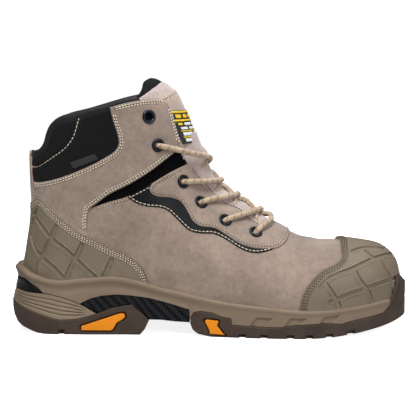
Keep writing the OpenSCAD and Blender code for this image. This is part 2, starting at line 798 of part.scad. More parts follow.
// One run of lace: out of an eyelet, over the facing and the tongue, ending at the edge
// of the other facing short of the next eyelet
module lace_run(rows_from, i, rows_to, j, side, height) {
    from = place(rows_from[side < 0 ? 0 : 1][i]);
    to = place(rows_to[side < 0 ? 1 : 0][j]);
    d0 = side * from[1];
    d1 = -side * max(to[1] - 12, 1.5);
    s1 = to[0] - 0.35 * (to[0] - from[0]);
    steps = 9;
    path = concat(
        [lace_point(from[0], d0, 0), lace_point(from[0], d0, flange_at + flange_t + 0.5)],
        [for (k = [0:steps])
            let (u = k / steps,
                 start = 0.06, s = from[0] + (s1 - from[0]) * (start + (1 - start) * u),
                 d = d0 + (d1 - d0) * (start + (1 - start) * u),
                 t = lace_over + (height - lace_over) * fade(u, 0.12, 0.35))
            lace_point(s, d, t)]);
    tube(path, lace_r, lace_sides);
}

module lace() {
    color([0.80, 0.70, 0.60])
        one_mesh() {
            for (i = [0:2]) {
                lace_run(LOWER_EYELETS, i, LOWER_EYELETS, i + 1, LATERAL, lace_crossing);
                lace_run(LOWER_EYELETS, i, LOWER_EYELETS, i + 1, MEDIAL, lace_over);
            }
            lace_bar();
        }
}

// Bar of lace between the two lowest eyelets
module lace_bar() {
    a = place(LOWER_EYELETS[0][3]);
    b = place(LOWER_EYELETS[1][3]);
    steps = 10;
    path = concat(
        [lace_point(a[0], -a[1], 0), lace_point(a[0], -a[1], flange_at + flange_t + 0.5)],
        [for (k = [0:steps])
            let (u = 0.05 + 0.9 * k / steps)
            lace_point(a[0] + (b[0] - a[0]) * u, -a[1] + (a[1] + b[1]) * u, lace_over)],
        [lace_point(b[0], b[1], flange_at + flange_t + 0.5), lace_point(b[0], b[1], 0)]);
    tube(path, lace_r, lace_sides);
}

// The pair of runs that crosses the ankle flex gap
module lace_ankle_run() {
    color([0.80, 0.70, 0.60])
        one_mesh() {
            lace_run(UPPER_EYELETS, 1, LOWER_EYELETS, 0, LATERAL, lace_crossing);
            lace_run(UPPER_EYELETS, 1, LOWER_EYELETS, 0, MEDIAL, lace_over);
        }
}

// ---------------------------------------------------------------- sole

// Half width of the outsole by X, lateral and medial
SOLE_WIDTH = [[45, 38, 37.5], [70, 39, 37.5], [95, 39, 34.5], [130, 42, 33],
              [160, 47, 37], [195, 53, 45], [228, 56, 52]];
sole_heel_x = 45;
sole_toe_x = 228;
sole_toe_tip = 316.5;
sole_square = [2.1, 2.4];

// Half width at x of the sole, drawn in by inset
function sole_half_width(side, x, inset) =
    let (col = side < 0 ? 1 : 2)
    x < sole_heel_x
    ? (SOLE_WIDTH[0][col] - inset)
      * round_off((x - 1 - inset) / (sole_heel_x - 1 - inset), 2.1)
    : x < sole_toe_x
    ? smooth_at(SOLE_WIDTH, x, col) - inset
    : (SOLE_WIDTH[len(SOLE_WIDTH) - 1][col] - inset)
      * round_off((sole_toe_tip - inset - x) / (sole_toe_tip - inset - sole_toe_x),
                  sole_square[col - 1]);

// Plan of the sole drawn in by inset, with more points where it curves more
function sole_plan(inset) =
    let (low = 1 + inset, high = sole_toe_tip - inset, n = 8,
         xs = concat([for (k = [0:n - 1]) low + (sole_heel_x - low) * (1 - cos(90 * k / n))],
                     [for (x = [sole_heel_x, 70, 95, 120, 145, 170, 195]) x],
                     [for (k = [n:-1:0]) high - (high - sole_toe_x) * (1 - cos(90 * k / n))]))
    concat([for (x = xs) [x, -max(sole_half_width(LATERAL, x, inset), 0.8)]],
           back([for (x = xs) [x, 0.8 + sole_half_width(MEDIAL, x, inset)]]));

module sole_slab(inset, outline) {
    intersection() {
        linear_extrude(60) polygon(sole_plan(inset));
        across(outline);
    }
}

// Ground line with toe spring, and the lines between the sole's parts, from heel to toe
TOE_SPRING = [[235, 0], [255, 1.2], [275, 3.6], [292, 6.4], [305, 9], [330, 14]];
HEEL_TREAD_TOP = [[-5, 34], [7, 31], [13, 23], [20, 19], [32, 14], [43, 11.4], [55, 12],
                  [63, 14], [73, 17]];
WEDGE_TOP = [[-5, 44], [11, 39.4], [21, 36], [36, 31.4], [51, 27], [59, 24], [71, 16.8]];
SHANK_TOP = [[59, 24.6], [67, 28.6], [75, 30.6], [86, 31.6], [98, 31], [113, 29],
             [129, 25], [144, 20.6]];
SHANK_LOW = [[73, 17.2], [82, 21], [92, 23], [99, 24], [102, 21], [109, 15], [112, 12],
             [121, 12], [132, 11], [144, 10.6]];
FORE_TOP = [[144, 10.4], [145, 16], [147, 19], [152, 20], [161, 19], [169, 16], [176, 15],
            [176.5, 10], [198, 9], [213, 9], [228, 11], [245, 12], [260, 11.4], [272, 14],
            [286, 16], [294, 17.4], [300, 23], [303, 30], [306, 37], [309, 46], [330, 46]];

module midsole() {
    color(TAN)
        sole_slab(3.2,
            concat([[-5, 44.2]], [for (p = WEDGE_TOP) if (p[0] > 0 && p[0] < 59) p + [0, gap]],
                   lift(SHANK_TOP, gap),
                   [for (p = FORE_TOP) if (p[0] > 144 && p[0] < 300) p + [0, 0.6]],
                   [[299, 27.4]], back([for (p = SOLE_LINE) if (p[0] > -9 && p[0] < 299) p]),
                   [[-5, 46]]));
}

// Wedge of the midsole over the heel tread, with its curved grooves
module heel_wedge() {
    color(TAN)
        difference() {
            sole_slab(2, concat(lift(HEEL_TREAD_TOP, gap), back(lift(WEDGE_TOP, -gap))));
            for (k = [0:3])
                translate([22 + 11 * k, 0, 31 - 3 * k])
                    rotate([90, 22, 0])
                        cube([9, 1.4, 200], center = true);
        }
}

module arch_shank() {
    color([0.10, 0.10, 0.11])
        sole_slab(3, concat([[60.5, 24]], [[71.2, 17.6]], lift(SHANK_LOW, gap),
                            back(lift(SHANK_TOP, -gap))));
}

// Hard clip round the back of the heel above the midsole
module heel_stabiliser() {
    color(BLACK)
        difference() {
            sole_slab(1.2, [[-5, 34.4], [10, 34], [23, 31], [27, 31.8], [23, 37], [16, 42],
                            [10, 45], [-5, 45.6]]);
            linear_extrude(80) polygon(sole_plan(3.1));
            linear_extrude(80) polygon(sole_plan(1.9));
        }
}

// Pockets in the side of the outsole that hold the coloured inserts
HEEL_POCKET = [[59, 3], [59, 7], [62, 8], [89, 17], [93, 17], [94, 14], [92, 12], [87, 9],
               [85, 5], [83, 3]];
FORE_POCKET = [[155, 12], [156, 14], [166, 13], [166, 11], [165, 9], [168, 5], [171, 1.5],
               [159, 2], [158, 6]];
pocket_depth = 7;

module pocket(outline, side, inset) {
    difference() {
        sole_slab(inset, outline);
        linear_extrude(60) polygon(sole_plan(pocket_depth));
        translate([0, side > 0 ? -200 : 0, -1]) cube([330, 200, 80]);
    }
}

module outsole() {
    color(BROWN)
        difference() {
            union() {
                sole_slab(0, concat([[-5, 0], [5, 4], [14, 0], [105, 0], [109, 5], [112, 11.8],
                                     [109, 14.8], [102, 20.8], [99, 23.8], [92, 22.8],
                                     [82, 20.8], [73, 16.9]], back(HEEL_TREAD_TOP)));
                sole_slab(0, concat([[144, 10], [146, 5], [150, 2], [160, 0]], TOE_SPRING,
                                    back(FORE_TOP)));
                arch_rail();
            }
            for (side = [LATERAL, MEDIAL])
                for (outline = [HEEL_POCKET, FORE_POCKET])
                    pocket(outline, side, -1);
            tread_channels();
            upper_seat();
        }
}

// Low rail on the medial side that joins the heel and the forefoot under the arch
module arch_rail() {
    intersection() {
        linear_extrude(60) polygon(sole_plan(1));
        translate([100, 24, 3.5]) cube([56, 30, 6]);
    }
}

// Room for the midsole and the upper inside the toe bumper
bumper_t = 1.5;

module upper_seat() {
    intersection() {
        linear_extrude(80) polygon(sole_plan(3.1));
        across([[290, 17.8], [299.5, 23.8], [299.5, 60], [290, 60]]);
    }
    intersection() {
        linear_extrude(80) polygon(sole_plan(bumper_t));
        across([[299, 27], [330, 28], [330, 60], [299, 60]]);
    }
}

module tread_channels() {
    half = tread_gap / 2;
    for (x = [184, 201, 221, 235.5, 251, 268])
        for (side = [-1, 1])
            translate([x, side * 32, 0])
                rotate([0, 0, side * 8])
                    translate([-half, -30, -1])
                        cube([tread_gap, 60, 1 + tread_depth + 18 * max(0, (x - 230) / 200)]);
    for (x = [43.5, 66])
        translate([x - half / 1.4, -60, -1]) cube([tread_gap / 1.4, 120, 1 + tread_depth]);
    translate([24, -3, -1]) cube([64, 6, 1 + tread_depth]);
    translate([178, -3, -1]) cube([104, 6, 1 + tread_depth]);
}

module insert(outline, side) {
    fit = 0.12;
    color(YELLOW)
        difference() {
            sole_slab(0.6, [for (p = outline) centre2(outline)
                            + (p - centre2(outline)) * (1 - fit / 4)]);
            linear_extrude(60) polygon(sole_plan(pocket_depth - fit));
            translate([0, side > 0 ? -200 : 0, -1]) cube([330, 200, 80]);
        }
}

function centre2(points) = [for (k = [0:1]) [for (p = points) p[k]] * [for (p = points) 1]]
    / len(points);

module heel_tread_insert_lateral() { insert(HEEL_POCKET, LATERAL); }
module heel_tread_insert_medial() { insert(HEEL_POCKET, MEDIAL); }
module forefoot_tread_insert_lateral() { insert(FORE_POCKET, LATERAL); }
module forefoot_tread_insert_medial() { insert(FORE_POCKET, MEDIAL); }

// ---------------------------------------------------------------- parts

outsole();
heel_tread_insert_lateral();
heel_tread_insert_medial();
forefoot_tread_insert_lateral();
forefoot_tread_insert_medial();
midsole();
heel_wedge();
arch_shank();
heel_stabiliser();
puncture_plate();
insole_board();
footbed();
steel_toe_cap();
toe_cap_edge_strip();
toe_guard();
vamp();
quarter_lateral();
quarter_medial();
wave_trim_lateral();
wave_trim_medial();
eyestay_lateral();
eyestay_medial();
heel_guard();
heel_counter();
lower_lining();
lower_eyelets();
lace();
lace_ankle_run();
ankle_gusset_lateral();
ankle_gusset_medial();
heel_fold_lateral();
heel_fold_medial();
lining_fold();
tongue_fold();
ankle_panel_lateral();
ankle_panel_medial();
collar_panel_lateral();
collar_panel_medial();
collar_foam();
collar_binding();
shaft_lining();
upper_eyelets();
backstay();
side_label();
tongue_base_shell();
tongue_base_foam();
tongue_base_lining();
tongue_neck_shell();
tongue_neck_foam();
tongue_neck_lining();
tongue_label();
tongue_tip_shell();
tongue_tip_foam();
tongue_tip_lining();
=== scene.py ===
import math

import bmesh
import bpy
import numpy as np
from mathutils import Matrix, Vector
from mathutils.geometry import delaunay_2d_cdt
from mathutils.kdtree import KDTree


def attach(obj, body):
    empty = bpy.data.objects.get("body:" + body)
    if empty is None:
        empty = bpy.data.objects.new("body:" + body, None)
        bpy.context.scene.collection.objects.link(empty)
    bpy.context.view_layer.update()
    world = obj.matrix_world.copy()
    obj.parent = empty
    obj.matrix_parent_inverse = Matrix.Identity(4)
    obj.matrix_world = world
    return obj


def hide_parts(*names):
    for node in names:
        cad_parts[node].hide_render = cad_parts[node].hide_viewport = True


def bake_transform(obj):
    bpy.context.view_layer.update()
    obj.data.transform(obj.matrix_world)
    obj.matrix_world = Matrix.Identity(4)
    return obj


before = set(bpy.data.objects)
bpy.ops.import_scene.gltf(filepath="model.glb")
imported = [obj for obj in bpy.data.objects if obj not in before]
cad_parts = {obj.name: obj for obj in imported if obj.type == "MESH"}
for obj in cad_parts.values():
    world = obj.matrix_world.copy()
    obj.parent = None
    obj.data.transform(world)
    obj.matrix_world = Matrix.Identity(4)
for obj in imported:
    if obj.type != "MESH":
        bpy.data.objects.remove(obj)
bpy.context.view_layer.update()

for spare in ("Cube", "Light", "Camera"):
    if spare in bpy.data.objects:
        bpy.data.objects.remove(bpy.data.objects[spare])

MM = 0.001
LATERAL, MEDIAL = -1.0, 1.0

# ---- reference surface
# Sections of the upper: number, X and Z of the front line, X and Z of the far end, reach
# and squareness of the front rounding, crest shift, spread of the points in degrees.
SECTION = np.array([
    [0, 131, 206, 19, 206, 54, 1.9, 4, 170], [1, 134, 190, 18.5, 190, 54, 1.9, 4, 170],
    [2, 140, 175, 18, 175, 54, 1.9, 4.5, 170], [3, 145.5, 161, 17.8, 159, 54, 1.85, 5, 170],
    [4, 150.5, 148, 17.8, 141, 54, 1.8, 5.5, 170], [5, 156, 135, 18.2, 121, 56, 1.75, 6.5, 170],
    [6, 161.5, 122, 18.8, 101, 58, 1.7, 8, 170], [7, 169, 111, 17.2, 81, 60, 1.7, 10, 168],
    [8, 178, 104, 14.5, 62, 60, 1.7, 10.5, 165], [9, 188, 97.2, 11.8, 40, 60, 1.7, 10.5, 160],
    [10, 197, 91.2, 22, 12, 60, 1.7, 10, 140], [11, 205, 86.2, 70, 12, 58, 1.7, 9, 120],
    [12, 212, 82, 115, 12, 56, 1.75, 7.5, 110], [13, 219, 78.2, 155, 12, 52, 1.8, 6, 105],
    [14, 227, 74.6, 190, 12, 48, 1.9, 4.5, 100], [15, 236, 71.6, 217, 12, 45, 2.0, 3.5, 100],
    [16, 247, 69.7, 238, 12, 42, 2.1, 3, 100], [17, 259, 69, 256, 12, 38, 2.3, 3, 100],
    [18, 271, 68.2, 270, 12, 34, 2.5, 3, 100], [19, 282.5, 66.6, 282.5, 12, 31, 2.6, 3, 100],
    [20, 292, 64.8, 292, 12, 29, 2.6, 3.5, 100], [21, 299, 61.8, 299, 12, 27, 2.5, 4, 100],
    [22, 304, 57.8, 304, 12, 25, 2.4, 4.5, 100], [23, 307.3, 53, 307.3, 12, 23, 2.2, 5, 100],
    [24, 309.3, 47.5, 309.3, 12, 20, 2.1, 5, 100], [25, 310.2, 41, 310.2, 12, 17, 2, 5, 100],
    [26, 310.6, 35, 310.6, 12, 15, 2, 5, 100]], float)
BACK_LINE = np.array([[12, 14], [30, 12], [48, 11.8], [64, 14.4], [85, 17.7], [101, 18.6],
                      [118, 18], [142, 17.8], [206, 19]], float)
BACK_ROUND = np.array([[12, 40], [100, 44], [150, 58], [206, 60]], float)
FOOT_WIDTH = np.array([[8, 34.5, 34.5], [60, 35.5, 35], [95, 35, 32.5], [130, 37, 30.5],
                       [160, 42, 33.5], [190, 47.5, 41], [212, 51, 46.5], [232, 52, 49.5]], float)
LEG_WIDTH = np.array([[40, 35], [80, 34.5], [105, 33], [125, 33.5], [150, 36], [178, 37],
                      [206, 34]], float)
TOE_START, TOE_END = 232.0, 310.6


def smooth_at(table, x, col=1):
    """Value of a table's column at x, on the smooth curve through its rows."""
    x = np.asarray(x, float)
    keys, vals = table[:, 0], table[:, col]
    m = np.empty(len(keys))
    m[1:-1] = (vals[2:] - vals[:-2]) / (keys[2:] - keys[:-2])
    m[0] = (vals[1] - vals[0]) / (keys[1] - keys[0])
    m[-1] = (vals[-1] - vals[-2]) / (keys[-1] - keys[-2])
    i = np.clip(np.searchsorted(keys, x, side="right") - 1, 0, len(keys) - 2)
    h = keys[i + 1] - keys[i]
    u = np.clip((x - keys[i]) / h, 0, 1)
    return ((2 * u**3 - 3 * u**2 + 1) * vals[i] + (u**3 - 2 * u**2 + u) * h * m[i]
            + (3 * u**2 - 2 * u**3) * vals[i + 1] + (u**3 - u**2) * h * m[i + 1])


def fade(x, a, b):
    """Smooth step from 0 at a to 1 at b."""
    u = np.clip((np.asarray(x, float) - a) / (b - a), 0, 1)
    return u * u * (3 - 2 * u)


def round_off(u, n):
    """Rises from 0 to 1 along a rounded corner of squareness n."""
    return (1 - (1 - np.clip(u, 0, 1)) ** n) ** (1 / n)


def half_width(side, x, z):
    """Distance of the upper's wall from the centre plane at X and Z."""
    lateral = side < 0
    square = np.where(lateral, 2.15, 2.5)
    rear = np.where(lateral, smooth_at(FOOT_WIDTH, x, 1), smooth_at(FOOT_WIDTH, x, 2))
    toe = np.where(lateral, 52.0, 49.5) * round_off((TOE_END - x) / (TOE_END - TOE_START), square)
    foot = np.where(x < TOE_START, rear, toe)
    leg = fade(z, 45, 112) * (1 - fade(x, 190, 240))
    return (1 - leg) * foot + leg * smooth_at(LEG_WIDTH, z)


def front_end(s):
    cols = [smooth_at(SECTION, s, c) for c in (1, 2, 3, 4)]
    return np.stack(cols[:2], -1), np.stack(cols[2:], -1)


def spread(s):
    return np.radians(smooth_at(SECTION, s, 8))


def surface(s, w):
    """Points of the reference surface in mm: section s, signed share w of the way down."""
    s, w = np.broadcast_arrays(np.asarray(s, float), np.asarray(w, float))
    front, end = front_end(s)
    span = end - front
    length = np.linalg.norm(span, axis=-1)
    a = spread(s)
    v = np.abs(w)
    d = length * (1 - np.cos(a * v)) / (1 - np.cos(a))
    p = front + span / length[..., None] * d[..., None]
    side = np.where(w < 0, LATERAL, MEDIAL)
    u = d / smooth_at(SECTION, s, 5)
    width = (half_width(side, p[..., 0], p[..., 1]) * round_off(u, smooth_at(SECTION, s, 6))
             * round_off((p[..., 0] - smooth_at(BACK_LINE, p[..., 1]))
                         / smooth_at(BACK_ROUND, p[..., 1]), 2.1))
    shift = smooth_at(SECTION, s, 7) * (1 - np.clip(u, 0, 1)) ** 1.5
    return np.stack([p[..., 0], shift + side * width, p[..., 1]], -1)


def unit(v):
    return v / np.maximum(np.linalg.norm(v, axis=-1, keepdims=True), 1e-9)


def place(points, side):
    """Side-view points (x, z) on one side to (s, w)."""
    p = np.asarray(points, float).reshape(-1, 2)
    lo, hi = np.zeros(len(p)), np.full(len(p), 26.0)
    for _ in range(30):
        mid = (lo + hi) / 2
        front, end = front_end(mid)
        span, off = end - front, p - front
        after = span[:, 0] * off[:, 1] - span[:, 1] * off[:, 0] > 0
        lo, hi = np.where(after, mid, lo), np.where(after, hi, mid)
    s = (lo + hi) / 2
    front, end = front_end(s)
    span = end - front
    length = np.linalg.norm(span, axis=-1)
    d = np.clip(((p - front) * span).sum(-1) / length, 0, length)
    a = spread(s)
    v = np.arccos(np.clip(1 - d / length * (1 - np.cos(a)), -1, 1)) / a
    return np.stack([s, side * np.clip(v, 0, 1)], -1)


# ---- curves
def resample(points, step, closed=False):
    """Broken line through the points, evenly spaced."""
    p = np.asarray(points, float)
    if closed:
        p = np.vstack([p, p[:1]])
    seg = np.linalg.norm(np.diff(p, axis=0), axis=1)
    at = np.r_[0, np.cumsum(seg)]
    n = max(int(round(at[-1] / step)), 2)
    t = np.linspace(0, at[-1], n + 1)
    out = np.stack([np.interp(t, at, p[:, k]) for k in range(p.shape[1])], -1)
    return out[:-1] if closed else out


def spline(points, step=1.5, closed=False):
    """Smooth curve through the points, evenly spaced."""
    p = np.asarray(points, float)
    n = len(p)
    out = []
    for i in range(n if closed else n - 1):
        q = [p[(i + k) % n] if closed else p[min(max(i + k, 0), n - 1)] for k in (-1, 0, 1, 2)]
        d = [max(np.linalg.norm(q[k + 1] - q[k]), 1e-6) ** 0.5 for k in range(3)]
        t0, t1, t2, t3 = 0, d[0], d[0] + d[1], d[0] + d[1] + d[2]
        for u in np.linspace(0, 1, 12, endpoint=False):
            t = t1 + (t2 - t1) * u
            a1 = (t1 - t) / (t1 - t0) * q[0] + (t - t0) / (t1 - t0) * q[1]
            a2 = (t2 - t) / (t2 - t1) * q[1] + (t - t1) / (t2 - t1) * q[2]
            a3 = (t3 - t) / (t3 - t2) * q[2] + (t - t2) / (t3 - t2) * q[3]
            b1 = (t2 - t) / (t2 - t0) * a1 + (t - t0) / (t2 - t0) * a2
            b2 = (t3 - t) / (t3 - t1) * a2 + (t - t1) / (t3 - t1) * a3
            out.append((t2 - t) / (t2 - t1) * b1 + (t - t1) / (t2 - t1) * b2)
    if not closed:
        out.append(p[-1])
    return resample(out, step, closed)


LAST_END = 26
FLAT_S, FLAT_W = 12.0, 112.0


class Last:
    """The reference surface in flat coordinates, joined over the crest or round the back.

    A flat place is a section's number times FLAT_S and a share of the way down times
    FLAT_W, so that both come out near millimetres.
    """

    def __init__(self, wrap=False):
        self.wrap = wrap

    def flat(self, sw):
        sw = np.asarray(sw, float).reshape(-1, 2)
        w = sw[:, 1]
        c = w - np.where(w < 0, -1.0, 1.0) if self.wrap else w
        return np.stack([sw[:, 0] * FLAT_S, c * FLAT_W], -1)

    def share(self, uv):
        s, c = uv[:, 0] / FLAT_S, uv[:, 1] / FLAT_W
        if self.wrap:
            c = np.where(c < 0, c + 1.0, c - 1.0)
        return np.clip(s, 0, LAST_END), np.clip(c, -1, 1)

    def point(self, uv):
        return surface(*self.share(uv))

    def path(self, points, side, smooth=True, step=1.2):
        line = spline(points, step) if smooth else resample(points, step)
        return self.even(self.flat(place(line, side)))

    def even(self, uv, step=1.2, closed=False):
        if closed:
            uv = np.vstack([uv, uv[:1]])
        p = self.point(uv)
        seg = np.linalg.norm(np.diff(p, axis=0), axis=1)
        keep = np.r_[True, seg > 1e-4]
        uv, p = uv[keep], p[keep]
        at = np.r_[0, np.cumsum(np.linalg.norm(np.diff(p, axis=0), axis=1))]
        n = max(int(round(at[-1] / step)), 2)
        t = np.linspace(0, at[-1], n + 1)
        out = np.stack([np.interp(t, at, uv[:, k]) for k in (0, 1)], -1)
        return out[:-1] if closed else out

    def frame(self, uv):
        """Point, outward normal and both tangents."""
        h = 0.35
        e1, e2 = np.array([h, 0.0]), np.array([0.0, h * 1.6])
        du = (self.point(uv + e1) - self.point(uv - e1)) / (2 * h)
        dv = (self.point(uv + e2) - self.point(uv - e2)) / (3.2 * h)
        n = np.cross(du, dv)
        tip = uv[:, 0] > LAST_END * FLAT_S - 0.01
        n[tip, 1] = 0
        return self.point(uv), unit(n), du, dv

    def off(self, uv, t):
        p, n, _, _ = self.frame(uv)
        return p + n * np.asarray(t, float).reshape(-1, 1)

    def shift(self, uv, step):
        """Moves flat points by small 3-D steps along the surface."""
        _, _, du, dv = self.frame(uv)
        g11, g12, g22 = (du * du).sum(-1), (du * dv).sum(-1), (dv * dv).sum(-1)
        r1, r2 = (du * step).sum(-1), (dv * step).sum(-1)
        det = np.maximum(g11 * g22 - g12 * g12, 1e-6)
        return uv + np.stack([(g22 * r1 - g12 * r2) / det, (g11 * r2 - g12 * r1) / det], -1)

    def inset(self, uv, delta, closed=False):
        """Path moved to its left by delta mm, a little at a time."""
        for _ in range(max(int(abs(delta) // 1.5), 1) if delta else 0):
            part = delta / max(int(abs(delta) // 1.5), 1)
            p, n, _, _ = self.frame(uv)
            along = np.roll(p, -1, 0) - np.roll(p, 1, 0) if closed else np.gradient(p, axis=0)
            uv = self.shift(uv, np.cross(n, unit(along)) * part)
        return uv

    def circle(self, centre, radius, n=28):
        """Ring of flat points round a place."""
        uv = np.repeat(centre.reshape(1, 2), n, 0)
        _, nor, du, _ = self.frame(uv)
        a = unit(du)
        b = np.cross(nor, a)
        t = np.linspace(0, 2 * math.pi, n, endpoint=False)[:, None]
        ring = uv
        for _ in range(2):
            ring = self.shift(ring, (np.cos(t) * a + np.sin(t) * b) * radius / 2)
        return ring


LAST, WRAP = Last(), Last(True)


def inside(points, loops):
    """Which flat points lie inside an odd number of the loops."""
    x, y = points[:, 0], points[:, 1]
    odd = np.zeros(len(points), bool)
    for loop in loops:
        for (x1, y1), (x2, y2) in zip(loop, np.roll(loop, -1, 0)):
            if y1 != y2:
                hit = (y < y1) != (y < y2)
                odd ^= hit & (x < (x2 - x1) * (y - y1) / (y2 - y1) + x1)
    return odd


def polyline_distance(points, lines):
    """Distance of 3-D points from broken lines."""
    out = np.full(len(points), 1e9)
    for line in lines:
        a, b = line[:-1], line[1:]
        tree = KDTree(len(line))
        for i, p in enumerate(line):
            tree.insert(p, i)
        tree.balance()
        near = np.array([tree.find(p)[1] for p in points])
        for k in (near - 1, near):
            k = np.clip(k, 0, len(a) - 1)
            ab = b[k] - a[k]
            t = np.clip(((points - a[k]) * ab).sum(-1) / np.maximum((ab * ab).sum(-1), 1e-9), 0, 1)
            out = np.minimum(out, np.linalg.norm(points - a[k] - ab * t[:, None], axis=-1))
    return out


def signed_area(loop):
    x, y = loop[:, 0], loop[:, 1]
    return 0.5 * np.sum(x * np.roll(y, -1) - y * np.roll(x, -1))


# ---- meshes
def new_mesh(name, verts, faces, mats, face_mats=None, uv=None, sharp=38, weld=0):
    """Object from millimetre points. uv is one pair a vertex."""
    mesh = bpy.data.meshes.new(name)
    mesh.from_pydata((np.asarray(verts) * MM).tolist(), [], [list(map(int, f)) for f in faces])
    for m in mats:
        mesh.materials.append(m)
    if face_mats is not None:
        mesh.polygons.foreach_set("material_index", np.asarray(face_mats, np.int32))
    if uv is not None:
        layer = mesh.uv_layers.new(name="UVMap")
        index = np.empty(len(mesh.loops), np.int32)
        mesh.loops.foreach_get("vertex_index", index)
        layer.data.foreach_set("uv", np.asarray(uv, np.float32)[index].ravel())
    if weld:
        bm = bmesh.new()
        bm.from_mesh(mesh)
        bmesh.ops.remove_doubles(bm, verts=bm.verts, dist=weld * MM)
        bm.to_mesh(mesh)
        bm.free()
    mesh.validate()
    mesh.shade_smooth()
    if sharp:
        mesh.set_sharp_from_angle(angle=math.radians(sharp))
    obj = bpy.data.objects.new(name, mesh)
    bpy.context.scene.collection.objects.link(obj)
    return obj


def panel(name, last, parts, mats, t0, t1, holes=(), r=0.5, step=1.8, relief=None,
          features=(), weld=0, uv=None, cut=1):
    """Closed piece of a layer between t0 and t1 inside the outline.

    parts are (flat path, is_edge) in order round the outline. Edges are rounded by r.
    relief(points, flat, edge distance) adds to the outer face. features are extra flat
    points that the mesh should follow.
    """
    loop = np.vstack([p for p, _ in parts])
    edge = np.concatenate([np.full(len(p), e) for p, e in parts])
    gap = np.linalg.norm(last.point(loop) - last.point(np.roll(loop, -1, 0)), axis=1)
    keep = gap > 0.12
    loop, edge = loop[keep], edge[keep]
    if signed_area(loop) < 0:
        loop, edge = loop[::-1], edge[::-1]
    loops = [loop] + [h if signed_area(h) > 0 else h[::-1] for h in holes]
    line = last.point(loop)
    runs, run = [], []
    for i in range(len(loop) + 1):
        k = i % len(loop)
        if edge[k] and i < len(loop):
            run.append(line[k])
        else:
            if i == len(loop) and edge.all():
                run.append(line[0])
            if len(run) > 1:
                runs.append(np.array(run))
            run = []
    runs += [np.vstack([last.point(h), last.point(h)[:1]]) for h in loops[1:]]
    rings = [last.inset(loop, d, True) for d in (0.3 * r, 0.7 * r, r, r + 1.0)]
    rings += [last.inset(h, -d, True) for h in loops[1:] for d in (0.4 * r, r)]
    lo, hi = loop.min(0), loop.max(0)
    ku = step / max(np.median(np.linalg.norm(last.frame(loop)[2], axis=1)), 0.2)
    kv = step / max(np.median(np.linalg.norm(last.frame(loop)[3], axis=1)), 0.2)
    nu, nv = max(int((hi[0] - lo[0]) / ku), 2), max(int((hi[1] - lo[1]) / kv), 2)
    gu, gv = np.meshgrid(np.linspace(lo[0], hi[0], nu), np.linspace(lo[1], hi[1], nv),
                         indexing="ij")
    gu = gu + (np.arange(nv) % 2)[None] * ku * 0.5
    grid = np.stack([gu.ravel(), gv.ravel()], -1)
    free = np.vstack(rings + list(features) + [grid])
    free = free[inside(free, loops)]
    ring_of = polyline_distance(last.point(free), [np.vstack([last.point(k), last.point(k)[:1]])
                                                   for k in loops])
    free = free[ring_of > 0.22 * r]
    fixed = np.vstack(loops)
    pts = np.vstack([fixed, free])
    edges, at = [], 0
    for k in loops:
        edges += [(at + i, at + (i + 1) % len(k)) for i in range(len(k))]
        at += len(k)
    out = delaunay_2d_cdt([Vector(p) for p in pts], edges, [], 0, 1e-5)
    flat = np.array([tuple(v) for v in out[0]])
    tris = np.array([f for f in out[2] if len(f) == 3], int)
    mid = flat[tris].mean(1)
    tris = tris[inside(mid, loops)]
    used = np.unique(tris)
    renum = -np.ones(len(flat), int)
    renum[used] = np.arange(len(used))
    flat, tris = flat[used], renum[tris]
    a, b, c = flat[tris[:, 0]], flat[tris[:, 1]], flat[tris[:, 2]]
    area = (b[:, 0] - a[:, 0]) * (c[:, 1] - a[:, 1]) - (b[:, 1] - a[:, 1]) * (c[:, 0] - a[:, 0])
    tris[area < 0] = tris[area < 0][:, ::-1]
    p, n, _, _ = last.frame(flat)
    dist = polyline_distance(p, runs) if runs else np.full(len(p), 99.0)
    top = t1 - (r - np.sqrt(np.maximum(r * r - np.maximum(r - dist, 0) ** 2, 0)))
    if relief is not None:
        top = top + relief(p, flat, dist)
    count = {}
    for t in tris:
        for i in range(3):
            e = (t[i], t[(i + 1) % 3])
            count[e] = count.get(e, 0) + 1
    rim = [e for e in count if (e[1], e[0]) not in count]
    m = len(flat)
    verts = np.vstack([p + n * top[:, None], p + n * t0])
    faces = [tuple(t) for t in tris] + [tuple(t[::-1] + m) for t in tris]
    skirt = [(e[1], e[0], e[0] + m, e[1] + m) for e in rim]
    kinds = [0] * len(tris) + [min(1, len(mats) - 1)] * len(tris)
    kinds += [min(cut, len(mats) - 1)] * len(skirt)
    both = np.vstack([flat, flat]) if uv is None else np.vstack([uv(p, flat)] * 2)
    return new_mesh(name, verts, faces + skirt, mats, kinds, both, weld=weld)


def tube(path, radius, sides=10):
    """Points, faces and flat coordinates of a round tube along a path."""
    path = np.asarray(path, float)
    n = len(path)
    along = unit(np.gradient(path, axis=0))
    ref = np.array([0.3, 0.2, 1.0])
    a = unit(ref - along[0] * (ref @ along[0]))
    frames = []
    for t in along:
        a = unit(a - t * (a @ t))
        frames.append((a, np.cross(t, a)))
    rad = np.broadcast_to(np.asarray(radius, float), (n,))
    ang = np.linspace(0, 2 * math.pi, sides, endpoint=False)
    verts = np.vstack([path[i] + rad[i] * (np.cos(ang)[:, None] * frames[i][0]
                                           + np.sin(ang)[:, None] * frames[i][1])
                       for i in range(n)])
    faces = [(i * sides + k, i * sides + (k + 1) % sides, (i + 1) * sides + (k + 1) % sides,
              (i + 1) * sides + k) for i in range(n - 1) for k in range(sides)]
    faces += [tuple(range(sides))[::-1], tuple((n - 1) * sides + k for k in range(sides))]
    run = np.r_[0, np.cumsum(np.linalg.norm(np.diff(path, axis=0), axis=1))]
    uv = np.stack([np.repeat(run, sides), np.tile(ang / (2 * math.pi), n)], -1)
    return verts, faces, uv


